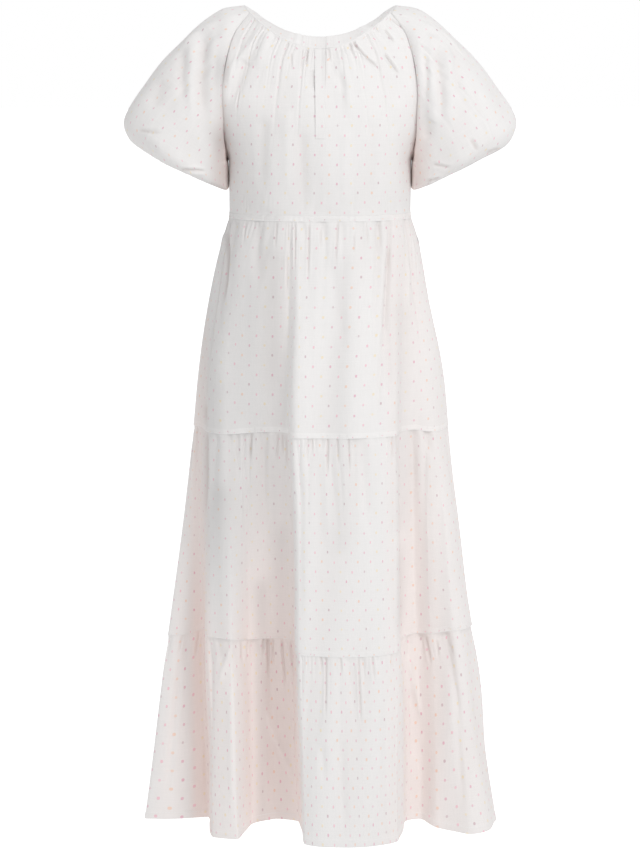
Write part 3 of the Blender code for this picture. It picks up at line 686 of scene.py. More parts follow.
def make_piece(name, points, flat, marks, finish, thickness, replaced=(), closed=False):
    """A piece of cloth from rows of points, with its places on the flat cloth, its marks, its wall,
    its finish and its place in the frame."""
    rows, columns = points.shape[:2]
    bm = bmesh.new()
    bmesh.ops.create_grid(bm, x_segments=columns - 1, y_segments=rows - 1, size=0.5)
    cloth = bm.loops.layers.uv.new("flat_cloth")
    layers = {mark: bm.verts.layers.float.new(mark) for mark in MARKS}
    spots = {}
    for vert in bm.verts:
        column = round((vert.co.x + 0.5) * (columns - 1))
        row = round((0.5 - vert.co.y) * (rows - 1))
        spots[vert] = (row, column)
    for face in bm.faces:
        for loop in face.loops:
            loop[cloth].uv = flat[spots[loop.vert]]
    for vert, spot in spots.items():
        vert.co = points[spot]
        for mark, layer in layers.items():
            vert[layer] = marks[mark][spot]
    if closed:
        bmesh.ops.remove_doubles(bm, verts=bm.verts[:], dist=1e-6)
    mesh = bpy.data.meshes.new(name)
    bm.to_mesh(mesh)
    bm.free()
    mesh.shade_smooth()
    mesh.materials.append(cotton_finish(finish, bpy.context.scene.dress_cloth))
    piece = put_in_scene(name, mesh)
    wall = piece.modifiers.new("cloth wall", "SOLIDIFY")
    wall.thickness = thickness
    wall.offset = -1
    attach(piece, "root")
    if replaced:
        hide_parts(*replaced)
    return piece


def marks_for(points, painted_glow, shade, across=1.0, along=1.0):
    """Marks that the finishes read: painted warmth in a fold, painted shade that paints light where it is
    negative, and where the nearest row of stitches runs."""
    values = (np.clip(painted_glow, 0, 1), np.clip(shade, -0.12, 0.6), across, along)
    return {mark: np.broadcast_to(value, points.shape[:2]) for mark, value in zip(MARKS, values)}


# ---- finishes
def maths(operation):
    """A method that puts a maths node behind a wire."""
    def method(wire, *others):
        inputs = enumerate((wire, *others))
        return Wire(add_node(wire.tree, "Math", inputs, operation=operation).outputs[0])
    return method


class Wire:
    """A value inside a node tree. Arithmetic with it adds the nodes."""

    def __init__(self, socket):
        self.socket = socket
        self.tree = socket.id_data

    __add__ = maths("ADD")
    __sub__ = maths("SUBTRACT")
    __mul__ = maths("MULTIPLY")
    __truediv__ = maths("DIVIDE")
    __pow__ = maths("POWER")
    __mod__ = maths("FLOORED_MODULO")
    __abs__ = maths("ABSOLUTE")
    __floor__ = maths("FLOOR")
    sine = maths("SINE")
    fraction = maths("FRACT")
    or_more = maths("MAXIMUM")

    def __rsub__(self, other):
        return self * -1.0 + other


def feed(socket, value):
    """Links a socket to a wire, or sets it to a plain value."""
    if isinstance(value, Wire):
        value.tree.links.new(value.socket, socket)
    else:
        socket.default_value = value


def feed_node(node, inputs):
    """Feeds a node's inputs, which are a dictionary or pairs of a name or number and a value."""
    for name, value in dict(inputs).items():
        feed(node.inputs[name], value)


def add_node(tree, kind, inputs=(), **settings):
    """Adds a node, sets it and feeds its inputs."""
    made = tree.nodes.new("ShaderNode" + kind)
    for name, value in settings.items():
        setattr(made, name, value)
    feed_node(made, inputs)
    return made


def soft_step(value, low, high):
    """0 below low and 1 above high, or the other way round where low is the greater."""
    inputs = {"Value": value, "From Min": min(low, high), "From Max": max(low, high),
              "To Min": float(low > high), "To Max": float(low < high)}
    return Wire(add_node(value.tree, "MapRange", inputs, interpolation_type="SMOOTHSTEP").outputs[0])


def blend_colours(share, first, second):
    inputs = {"Factor": share, "A": first, "B": second}
    return Wire(add_node(share.tree, "Mix", inputs, data_type="RGBA").outputs["Result"])


def noise(place, scales, detail, distortion=0.0):
    """A soft random value, with its own scale along each axis."""
    spread = add_node(place.tree, "Mapping", {"Vector": place, "Scale": scales})
    inputs = {"Vector": Wire(spread.outputs[0]), "Scale": 1.0, "Detail": detail,
              "Distortion": distortion}
    return Wire(add_node(place.tree, "TexNoise", inputs).outputs[0])


def random_at(first, second):
    """Three fixed random numbers for a pair of whole numbers."""
    join = add_node(first.tree, "CombineXYZ", {0: first, 1: second})
    inputs = {"Vector": Wire(join.outputs[0])}
    spot = add_node(first.tree, "TexWhiteNoise", inputs, noise_dimensions="2D")
    split = add_node(first.tree, "SeparateColor", {0: Wire(spot.outputs["Color"])})
    return [Wire(socket) for socket in split.outputs]


def split_place(place):
    made = add_node(place.tree, "SeparateXYZ", {0: place})
    return Wire(made.outputs[0]), Wire(made.outputs[1])


def use_group(tree, name, values):
    """Adds a node group, which is made at its first use. Returns its outputs as wires."""
    group = bpy.data.node_groups.get(name) or GROUP_MAKERS[name](name)
    made = add_node(tree, "Group", values, node_tree=group)
    return {socket.name: Wire(socket) for socket in made.outputs}


def new_group(name, inputs, outputs):
    """A node group from its sockets' default values: None is a place and a tuple a colour. Returns
    its tree, its inputs as wires and its output sockets."""
    tree = bpy.data.node_groups.new(name, "ShaderNodeTree")
    for way, sockets in (("INPUT", inputs), ("OUTPUT", outputs)):
        for label, value in sockets.items():
            kind = "Vector" if value is None else "Color" if isinstance(value, tuple) else "Float"
            made = tree.interface.new_socket(name=label, in_out=way, socket_type="NodeSocket" + kind)
            if value is not None:
                made.default_value = value
    get = {socket.name: Wire(socket) for socket in tree.nodes.new("NodeGroupInput").outputs}
    return tree, get, tree.nodes.new("NodeGroupOutput").inputs


WHITE = (1.0, 1.0, 1.0, 1.0)
THREADS = ("Magenta", "Pink", "Yellow", "Orange", "Plum")


def woven_dots_group(name):
    """Short dashes of coloured thread in columns, every second column half a step lower."""
    sizes = {"Column Gap": 0.0119, "Row Gap": 0.031, "Dot Width": 0.0025, "Dot Length": 0.0042}
    colours = {label: WHITE for label in ("Cloth", *THREADS)}
    tree, get, out = new_group(name, {"Place": None, **sizes, **colours}, {"Color": WHITE, "Dot": 0.0})
    weft, warp = split_place(get["Place"])
    columns = weft / get["Column Gap"]
    column = floor(columns)
    rows = warp / get["Row Gap"] + column % 2.0 * 0.5
    row = floor(rows)
    shift, slip, size = random_at(column, row)
    across = (columns - column - 0.5) * get["Column Gap"] + (shift - 0.5) * 0.0012
    down = (rows - row - 0.5) * get["Row Gap"] + (slip - 0.5) * 0.0014
    fuzz = noise(get["Place"], (1900, 1900, 1900), 2)
    kind = column % 3.0 / 3.0
    pale = soft_step(kind, 0.49, 0.50)
    wide = abs(across / (get["Dot Width"] * 0.5 * (pale * 0.30 + 1.0)))
    long = abs(down / (get["Dot Length"] * 0.5))
    reach = wide**2.4 + long**3.0 + (fuzz - 0.5) * 0.9 + (size - 0.5) * 0.5
    dot = soft_step(reach, 1.25, 0.6)
    strand = soft_step(abs(down), 0.0004, 0.0002) * soft_step(wide, 4.2, 2.2)
    strand = strand * soft_step(size, 0.55, 0.75) * 0.12
    chance = random_at(floor(column / 3.0), 7.0)[0]
    first = blend_colours(soft_step(slip, 0.70, 0.74), get["Magenta"], get["Plum"])
    third = blend_colours(soft_step(chance, 0.47, 0.48), get["Yellow"], get["Orange"])
    colour = blend_colours(soft_step(kind, 0.16, 0.17), first, get["Pink"])
    colour = blend_colours(pale, colour, third)
    shown = (dot * (0.405 - size * 0.13)).or_more(strand)
    feed(out["Color"], blend_colours(shown, get["Cloth"], colour))
    feed(out["Dot"], dot)
    return tree


def voile_weave_group(name):
    """Fine crossing threads with slubs, and the slight crinkle of washed voile."""
    inputs = {"Place": None, "Thread Gap": 0.0005, "Crinkle": 0.4}
    tree, get, out = new_group(name, inputs, {"Height": 0.0, "Tone": 0.0})
    weft, warp = [(way / get["Thread Gap"] * (2 * pi)).sine() for way in split_place(get["Place"])]
    threads = weft * warp
    slub = noise(get["Place"], (420, 38, 1), 3) + noise(get["Place"], (34, 460, 1), 3)
    crinkle = noise(get["Place"], (95, 28, 1), 4, 0.6)
    feed(out["Height"], threads * 0.06 + slub * 0.12 + crinkle * get["Crinkle"])
    feed(out["Tone"], threads * 0.012 + (slub - 1.0) * 0.05)
    return tree


def stitch_row_group(name):
    """A row of small machine stitches beside a line."""
    inputs = {"Across": 1.0, "Along": 0.0, "Pitch": 0.0028, "Thread": 0.0006}
    tree, get, out = new_group(name, inputs, {"Stitch": 0.0, "Pull": 0.0})
    gap = abs(get["Across"]) / get["Thread"]
    middle = abs((get["Along"] / get["Pitch"]).fraction() - 0.5)
    feed(out["Stitch"], soft_step(gap, 1.0, 0.4) * soft_step(middle, 0.40, 0.30))
    feed(out["Pull"], soft_step(gap, 0.5, 3.5))
    return tree


GROUP_MAKERS = {"woven dots": woven_dots_group, "voile weave": voile_weave_group,
                "stitch row": stitch_row_group}


# colour setting, height of the crinkle and size of the dots
FINISHES = {
    "cotton voile": ("cloth", 0.4, 1.0),
    "lower voile": ("cloth", 0.4, 1.2),
    "doubled voile": ("seam_cloth", 0.25, 0.7),
    "seam voile": ("cloth", 0.2, 0.6),
}


def cotton_finish(name, sizes):
    """Cotton voile with woven dots, with painted warmth in deep folds and painted shade where marked, and
    stitches where rows are marked.
    """
    found = bpy.data.materials.get(name)
    if found:
        return found
    plain, crinkle, dotted = FINISHES[name]

    def opaque(setting):
        return (*getattr(sizes, setting), 1.0)

    material = bpy.data.materials.new(name)
    material.use_nodes = True
    tree = material.node_tree
    place = Wire(add_node(tree, "UVMap", uv_map="flat_cloth").outputs[0])
    painted_glow, shade, across, along = [
        Wire(add_node(tree, "Attribute", attribute_name=mark).outputs["Fac"]) for mark in MARKS]
    weave = use_group(tree, "voile weave", {"Place": place, "Crinkle": crinkle})
    stitches = use_group(tree, "stitch row", {"Across": across, "Along": along})
    colours = {thread: opaque(thread.lower()) for thread in THREADS}
    # the painted warmth mark turns the cloth towards the deep folds' colour, a painted warm light
    dots = use_group(tree, "woven dots", {
        "Place": place, "Cloth": blend_colours(painted_glow, opaque(plain), opaque("fold")),
        "Column Gap": sizes.column_gap, "Row Gap": sizes.row_gap,
        "Dot Width": sizes.dot_width * dotted, "Dot Length": sizes.dot_length * dotted, **colours})
    # the painted shade mark darkens the colour, and lightens it where it is negative
    value = (weave["Tone"] + 1.0) * (1.0 - shade)
    tone = add_node(tree, "HueSaturation", {"Color": dots["Color"], "Value": value})
    height = dots["Dot"] * 0.30 + weave["Height"] + stitches["Stitch"] * 0.35 + stitches["Pull"] * 0.12
    bump = add_node(tree, "Bump", {"Strength": 0.6, "Distance": 0.001, "Height": height})
    thread = (0.93, 0.92, 0.91, 1.0)
    feed_node(tree.nodes["Principled BSDF"], {
        "Base Color": blend_colours(stitches["Stitch"] * 0.55, Wire(tone.outputs[0]), thread),
        "Roughness": 0.86 - dots["Dot"] * 0.18,
        "Specular IOR Level": 0.25,
        "Sheen Weight": 0.12,
        "Sheen Roughness": 0.5,
        "Normal": Wire(bump.outputs[0]),
    })
    return material


# ---- settings that a user would change
def number(name, description, default, unit="LENGTH"):
    return bpy.props.FloatProperty(name=name, description=description, default=default, unit=unit)


def factor(name, description):
    return bpy.props.FloatProperty(
        name=name, description=description, default=1.0, subtype="FACTOR", min=0.0, max=2.0)


def colour(name, description, default):
    return bpy.props.FloatVectorProperty(
        name=name, description=description, default=default, subtype="COLOR")


class DressClothSettings(bpy.types.PropertyGroup):
    thickness: number("Cloth thickness", "Wall of one layer of voile", 0.0007)
    gather_height: factor("Gather height", "Scale of the uneven gathers")
    crease_height: factor("Crease height", "Scale of the creases placed by hand")
    column_gap: number("Column gap", "Gap between two columns of dots", 0.0119)
    row_gap: number("Row gap", "Gap between two dots of a column", 0.031)
    dot_width: number("Dot width", "Width of a woven dot", 0.0025)
    dot_length: number("Dot length", "Length of a woven dot", 0.0042)
    cloth: colour("Voile", "Colour of the voile", (0.855, 0.834, 0.824))
    # deep folds' colour: painted warm light, which the painted warmth mark blends in
    fold: colour("Deep folds", "Colour of the voile deep in a fold", (0.955, 0.79, 0.74))
    seam_cloth: colour("Doubled voile", "Colour of folded and doubled cloth", (0.868, 0.850, 0.842))
    magenta: colour("Magenta thread", "Colour of a dot", (0.74, 0.06, 0.27))
    pink: colour("Pink thread", "Colour of a dot", (0.93, 0.25, 0.41))
    yellow: colour("Yellow thread", "Colour of a dot", (0.93, 0.68, 0.24))
    orange: colour("Orange thread", "Colour of a dot", (0.96, 0.44, 0.20))
    plum: colour("Plum thread", "Colour of a dot", (0.42, 0.12, 0.20))


class DressTrimSettings(bpy.types.PropertyGroup):
    band_height: number("Seam band", "Height of the band along a tier's seam", 0.0092)
    hem_turn: number("Hem turn", "Height of the turned hem", 0.012)
    ruche: number("Elastic ruching", "Height of the ruching on the elastic", 0.0009)


class DressStageSettings(bpy.types.PropertyGroup):
    floor: number("Floor", "Height of the floor", -1.62)
    distance: number("Camera distance", "From the camera to the dress", 4.75)
    lens: number("Lens", "Focal length in millimetres", 124.966, "NONE")
    room: number("Room light", "Strength of the even white light", 0.81, "NONE")
    bounce: number("Light from below", "How much stronger the room light is below", 0.12, "NONE")
    key: number("Key light", "Power of the softbox in front", 152.0, "POWER")
    fill: number("Fill light", "Power of the softbox on the left", 1.0, "POWER")


# ---- pieces of the dress
class DRESS_OT_bodice(bpy.types.Operator):
    """Makes the front and back bodice, gathered to the neck casing"""
    bl_idname = "dress.bodice"
    bl_label = "Bodice"

    def execute(self, context):
        cloth = context.scene.dress_cloth
        for name, face, columns, rows in BODICE_GRIDS:
            turn = np.linspace(0, 1, columns)[::face]
            form = bodice_surface(face, turn, np.linspace(0, 1, rows) ** 1.25)
            below = lengths_down(form)
            places = np.broadcast_to(turn, below.shape)
            from_side = np.minimum(places, 1 - places)
            relief, lines = self.relief(cloth, form, below, places, from_side, face)
            points = form + outward_of(form) * relief[..., None]
            if face < 0:
                points[-1, :, 2] += SEAM_GAP / 2
            marks = self.marks(points, BODICE_HALF_GIRTH * from_side, relief, lines, face)
            piece = make_piece(f"{name}_bodice_cloth", points, self.on_cloth(points, below), marks,
                               "cotton voile", cloth.thickness, [f"{name}_bodice"])
        return {"FINISHED"}

    def relief(self, cloth, form, below, places, from_side, face):
        """How far the cloth stands out from its form, and the thin lines of its creases."""
        to_waist = below[-1] - below
        sides = ease(10 * from_side)
        creases = BODICE_CREASES if face < 0 else turned_round(BODICE_CREASES, 0.96, 4, -4)
        hand, lines = crease_relief(form, creases)
        relief = gathers(places, below, BODICE_GATHERS, 11 + face) * sides * cloth.gather_height
        relief += hand * cloth.crease_height * ease(below / 0.006)
        relief += gathers(places, to_waist, WAIST_GATHERS, 51 + face) * sides
        relief += bodice_swell(form) * sides * ease(below / 0.03) * ease(to_waist / 0.02)
        relief *= ease((to_waist - 0.003) / 0.012)
        relief += seam_bulge(BODICE_HALF_GIRTH * from_side, form[..., 2])
        return relief, lines

    def on_cloth(self, points, below):
        """Places on the flat cloth, where the threads run a little unevenly below the casing."""
        across = lengths_down(points.swapaxes(0, 1)).T
        flat = on_flat((across - across[:, -1:] / 2) * 1.02 + FLAT_MIDDLE, -points[..., 2] * FLAT_DROP)
        for way in (0, 1):
            flat[..., way] += 0.0018 * soft_swell(points, 0.05, 0.08, 60 + way) * bell(below, 0.05)
        return flat

    def marks(self, points, inset, relief, lines, face):
        """Painted warmth and shade in troughs and creases and, in front, painted light beside the seams near
        the underarm, and painted shade on the left and round the waist.
        """
        trough = np.clip(-relief / 0.009, 0, 1)
        painted_glow = 0.10 * trough + 0.15 * lines
        shade = 0.04 * trough + 0.14 * lines
        if face < 0:
            drop = -points[..., 2]
            # painted light near the underarm, where a crevice falls dark, and painted shade on the left,
            # away from the light
            beside = ease((0.02 - inset) / 0.014) * between(drop, 0.14, 0.05, 0.31, 0.04)
            left = ease((-points[..., 0] - 0.01) / 0.10) * ease((drop - 0.12) / 0.08)
            painted_glow += 0.25 * beside
            shade += painted_waist_shade(-drop) + 0.075 * left - 0.16 * beside
        return marks_for(points, painted_glow, shade)


class DRESS_OT_placket(bpy.types.Operator):
    """Makes the lapped strip down the middle of the front"""
    bl_idname = "dress.placket"
    bl_label = "Placket"

    def execute(self, context):
        shares = np.linspace(0, 1, 120)
        drops = [-bodice_row(share, -1, np.array([0.5]))[0, 2] for share in shares]
        bottom = np.interp(-PLACKET_BOTTOM, drops, shares)
        rows = np.linspace(0.002, bottom, PLACKET_ROWS)
        near = 0.001  # a small share of the turn, which gives how wide the form is there
        strip = []
        for share in rows:
            pair = bodice_row(share, -1, np.array([0.5 - near, 0.5 + near]))
            half = PLACKET_WIDTH * near / abs(pair[1, 0] - pair[0, 0])
            strip.append(bodice_surface(-1, 0.5 + np.linspace(half, -half, PLACKET_COLUMNS), [share])[0])
        points = np.array(strip)
        down = (rows / bottom)[:, None]
        width = np.linspace(-1, 1, PLACKET_COLUMNS)
        left = 0.0003 * between(down, 0.2, 0.2, 1.03, 0.1) * ease((-width - 0.3) / 0.6)
        right = 0.0016 * ease((0.55 - down) / 0.35) * ease((width - 0.2) / 0.7)
        roll = 0.0007 * ease((np.abs(width) - 0.9) / 0.1)
        flutter = 0.0004 * np.sin(down * 21) * width * (1 - down)
        lift = (0.0006 + left + right - roll + flutter) * ease((1.0 - down) / 0.08 + 0.12)
        lift = lift + bodice_swell(points) * ease(lengths_down(points) / 0.03)
        points = points + outward_of(points) * lift[..., None]
        across = width * PLACKET_WIDTH / 2
        stitch = np.abs(across) - PLACKET_WIDTH / 2 + PLACKET_STITCH
        # painted shade and warmth along the strip's right edge up top and its left edge lower down
        edge = 0.24 * ease((width - 0.90) / 0.05) * ease((0.62 - down) / 0.30)
        edge = edge + 0.14 * ease((-width - 0.90) / 0.05) * ease((down - 0.30) / 0.15)
        marks = marks_for(points, 0.5 * edge, edge, stitch, lengths_down(points))
        flat = on_flat(across + FLAT_MIDDLE, -points[..., 2] * FLAT_DROP)
        piece = make_piece("placket_strip", points, flat, marks, "cotton voile",
                           PLACKET_WALL, ["placket"])
        return {"FINISHED"}


class DRESS_OT_neck_casing(bpy.types.Operator):
    """Makes the ruched band that holds the neck's elastic"""
    bl_idname = "dress.neck_casing"
    bl_label = "Neck Casing"

    def execute(self, context):
        trim = context.scene.dress_trim
        places = np.linspace(1, 0, CASING_COLUMNS)
        edge = np.array([neck_edge(angle) for angle in 2 * pi * places])
        fall = np.array([casing_fall(angle) for angle in 2 * pi * places])
        drops, swell, depth = np.array(CASING_PROFILE).T[..., None]
        points = edge + fall * NECK_CASING * np.maximum(drops, 0)[..., None]
        ruche = np.abs(np.sin(pi * CASING_RUCHES * places + 2.0 * uneven_wave(places, (9, 31), 3)))
        ruche = ruche * np.clip(0.6 + 0.4 * uneven_wave(places, (5, 17), 4), 0.15, 1.3)
        lap = points[..., 0] - PLACKET_WIDTH / 2
        lift = 0.001 * swell + trim.ruche * depth * (ruche - 0.5)
        lift += 0.0013 * ease(lap / 0.0008 + 0.5) * bell(lap, 0.012) * (points[..., 1] < 0)
        outward = unit(np.cross(fall, np.gradient(edge, axis=0)))
        points = points + outward * lift[..., None]
        waves = 0.0008 * np.array([[0.4], [1.0], [0.6]]) * (ruche - 0.2)
        points[:3] -= fall * waves[..., None]
        length = length_along(edge) * 1.35
        stitch = np.abs(drops * NECK_CASING - CASING_STITCH)
        # painted shade and warmth in the valleys of the ruching
        valley = (1 - ruche) * depth
        piece = make_piece("neck_casing", points, on_flat(length, lengths_down(points)),
                           marks_for(points, 0.06 * valley, 0.07 * valley, stitch, length),
                           "doubled voile", CASING_WALL, ["neck_band"], closed=True)
        return {"FINISHED"}


class DRESS_OT_sleeves(bpy.types.Operator):
    """Makes the two raglan puff sleeves and the elastic cuffs inside their ends"""
    bl_idname = "dress.sleeves"
    bl_label = "Sleeves"

    def execute(self, context):
        cloth = context.scene.dress_cloth
        angles = np.linspace(pi, -pi, SLEEVE_COLUMNS)
        shares = np.concatenate([np.linspace(0, 0.6, 42), np.linspace(0.6, 1.0, 36)[1:]])
        base = sleeve_surface(angles, shares)
        for name, other, side in (("right", "left", 1), ("left", "right", -1)):
            form = (base * np.array([side, 1, 1]))[:, ::side]
            around = np.broadcast_to(angles / (2 * pi) + 0.5, form.shape[:2])[:, ::side]
            self.make_sleeve(cloth, name, other, side, form, around)
            self.make_cuff(name, side)
        return {"FINISHED"}

    def make_sleeve(self, cloth, name, other, side, form, around):
        """A sleeve from its plain form, with the share of the way round at each of its points."""
        wrapped = np.concatenate([form[:, -2:-1], form, form[:, 1:2]], axis=1)
        outward = outward_of(wrapped)[:, 1:-1]
        across, height = np.abs(form[..., 0]), form[..., 2]
        below = lengths_down(form)
        to_cuff = below[-1:] - below
        top = ease((0.5 + np.cos(2 * pi * (around - 0.5))) / 0.9)
        seed = 70 + 9 * side
        relief = gathers(around, below, SLEEVE_GATHERS, seed) * top
        relief += gathers(around, to_cuff, CUFF_GATHERS, seed + 40)
        relief *= cloth.gather_height
        hand, lines = self.creases(form, name, other)
        relief += 1.25 * hand * cloth.crease_height * ease(below / 0.008)
        relief += 0.0018 * soft_swell(form, 0.09, 0.16, 6) * ease(below / 0.04) * ease(to_cuff / 0.03)
        # none of this relief against the bodice, and less where the cloth faces up or to the side
        beside = ease((across - 0.150) / 0.018)
        relief *= beside * (0.3 + 0.7 * ease(np.abs(outward[..., 1]) / 0.5))
        # the cloth lies in a little beside the raglan seam's lower part
        lie_in = 0.00088 * ease(below / 0.004) * bell(below, 0.016) * (1 - top)
        relief -= lie_in * ease((-height - 0.045) / 0.05)
        relief += seam_bulge(below, height, top)
        points = form + outward * relief[..., None]
        # under the arm the sleeve lies nearer to the bodice
        points[..., 0] -= side * 0.0016 * (1 - beside) * ease((-height - 0.2365) / 0.006)
        # over the shoulder the first row is drawn up and in to the casing
        tucked = unit(points[0] - points[1]) * 0.0004 - outward[0] * 0.0002
        points[0] += tucked * top[0][:, None]
        # on the flat cloth the first row slants with the raglan seams, so that the grain runs down
        first = points[0] @ np.array([0.5 * side, 0, -0.866])
        flat = on_flat(around * 0.62, below + first - first.max())
        piece = make_piece(f"sleeve_{name}_cloth", points, flat,
                           self.marks(name, form, points, relief, lines, below, top),
                           "cotton voile", cloth.thickness, [f"sleeve_{name}"], closed=True)

    def creases(self, form, name, other):
        """The sleeve's own creases in front and, behind, those of the other sleeve turned round."""
        hand, lines = crease_relief(form, SLEEVE_CREASES[name])
        behind = crease_relief(form, turned_round(SLEEVE_CREASES[other], 1.0, 0, -3))[0]
        return hand * ease(-form[..., 1] / 0.012) + behind * ease(form[..., 1] / 0.012), lines

    def marks(self, name, form, points, relief, lines, below, top):
        """Painted warmth and shade in troughs and creases and beside the raglan seam, painted shade along
        strokes, and under the arm a warm painted shade that is painted lighter against the body.
        """
        across, height = np.abs(form[..., 0]), form[..., 2]
        trough = np.clip(-relief / 0.010, 0, 1)
        # painted warm shade beside the lower part of the raglan seam in front
        seam = bell(below, 0.030) * (1 - top) * ease(-points[..., 1] / 0.01)
        seam = seam * ease((-height - 0.08) / 0.09)
        painted_glow = 0.15 * trough + 0.15 * lines + 0.35 * seam
        # a warm painted shade under the arm near the body
        painted_glow += 0.5 * (1 - ease((across - 0.152) / 0.03)) * ease((-height - 0.15) / 0.08)
        shade = 0.05 * trough + 0.10 * lines + 0.03 * seam
        shade += painted_shade_strokes(points, SLEEVE_PAINTED_SHADES[name])
        # painted light under the arm right against the body
        shade -= 0.20 * (1 - ease((across - 0.149) / 0.006)) * ease((-height - 0.15) / 0.05)
        return marks_for(points, painted_glow, shade)

    def make_cuff(self, name, side):
        """The band on the elastic inside a sleeve's end, which repeats the solid's ring."""
        angles = np.linspace(pi, -pi, CUFF_COLUMNS)
        end = sleeve_row(1.0, angles[:-1])
        middle = end.mean(axis=0)
        quarter = len(end) // 4
        axis = unit(np.cross(end[quarter] - middle, end[2 * quarter] - middle))
        axis *= np.sign(axis[2])
        end = np.vstack([end, end[:1]])
        spread = unit(end - middle)
        around = angles / (2 * pi) + 0.5
        ruche = np.abs(np.sin(pi * CUFF_RUCHES * around + 1.6 * uneven_wave(around, (5, 15), 8)))
        rows = []
        for share, swell in CUFF_PROFILE:
            inward = 0.0012 - 0.001 * swell * (ruche - 0.5)
            rows.append(end + axis * (SEAM_GAP + CUFF_HEIGHT * share) - spread * inward[:, None])
        points = (np.array(rows) * np.array([side, 1, 1]))[:, ::side]
        length = length_along(points[0]) * 1.3
        down = lengths_down(points)
        stitch = np.abs(down - CUFF_HEIGHT / 2) - 0.005
        # a little painted warmth and painted shade over the whole band, which sits inside the sleeve's end
        piece = make_piece(f"cuff_{name}_band", points, on_flat(length, down),
                           marks_for(points, 0.1, 0.05, stitch, length),
                           "doubled voile", CUFF_WALL, [f"cuff_{name}"], closed=True)


def tier_levels(top, bottom, hem_turn):
    """Heights of a tier's rows, closest at its seams and along the edges of the turned hem."""
    shares = np.linspace(0, 1, PANEL_ROWS) ** 1.3
    if bottom == HEM:
        fine = 1 - hem_turn / (top - bottom) * np.array(HEM_ROWS)
        shares = np.concatenate([shares[shares < fine[0] - 0.01], fine])
    else:
        shares = np.insert(shares, [1, -1], [0.002, 0.997])
    return top + (bottom - top) * shares


class DRESS_OT_skirt(bpy.types.Operator):
    """Makes the six panels of the three gathered tiers"""
    bl_idname = "dress.skirt"
    bl_label = "Skirt Tiers"

    def execute(self, context):
        for order, sizes in enumerate(TIERS, 1):
            for face, start, columns in PANEL_GRIDS:
                self.make_panel(context, order, sizes, face, start, columns)
        return {"FINISHED"}

    def make_panel(self, context, order, sizes, face, start, columns):
        """One half of a tier, from the side seam at the share start of the way round."""
        cloth = context.scene.dress_cloth
        hem_turn = context.scene.dress_trim.hem_turn
        tier = f"tier_{order}"
        top, bottom, count = sizes
        lowest = bottom == HEM
        levels = tier_levels(top, bottom, hem_turn)
        # a row and a column more on each side, so that the normals run on over the seams
        step = 0.5 / (columns - 1)
        around = start + np.linspace(-step, 0.5 + step, columns + 2)
        beyond = np.concatenate([[top + 0.002], levels, [bottom - 0.002]])
        rings = np.array([skirt_ring(level, around) for level in beyond])
        outward = outward_of(rings[..., :3])[1:-1, 1:-1]
        rings, around = rings[1:-1, 1:-1], around[1:-1]
        points, fallen = rings[..., :3], rings[..., 3]
        down = lengths_down(points)

        below, left = (top - levels)[:, None], (levels - bottom)[:, None]
        relief = gathers(around, below - 0.003, ((count, 0.0018, 0.024), *TIER_GATHERS), 100 * order + 1)
        relief *= cloth.gather_height
        creases = TIER_CREASES[tier]
        if face == "back":
            creases = turned_round(creases, 0.94, 9, -6)
        hand, lines = crease_relief(points, creases)
        hand *= cloth.crease_height * np.where(hand > 0, ease((below - 0.004) / 0.012), ease(below / 0.005))
        relief += hand
        if lowest:
            relief += HEM_STEP * ease((hem_turn - left) / 0.0015 + 0.5)
        else:
            relief *= ease((left - 0.006) / 0.05)
        relief += skirt_swell(points)
        points = points + outward * relief[..., None]
        points[0, :, 2] -= SEAM_GAP / 2
        if not lowest:
            points[-1, :, 2] += SEAM_GAP / 2

        wide = ring_length((top + bottom) / 2) * TIER_EASE
        # painted warmth and painted shade in the folds, the troughs and the creases' lines
        trough = np.clip(-relief / 0.008, 0, 1)
        painted_glow = painted_fold_glow(points, fallen) + 0.10 * trough + 0.15 * lines
        shade = painted_fold_shade(points) + 0.04 * trough + 0.07 * lines
        stitches = (down[-1] - down - hem_turn + HEM_STITCH, around * wide) if lowest else ()
        finish = "lower voile" if lowest else "cotton voile"
        piece = make_piece(f"{tier}_{face}_cloth", points, on_flat(around * wide, down),
                           marks_for(points, painted_glow, shade, *stitches),
                           finish, cloth.thickness, [f"{tier}_{face}"])


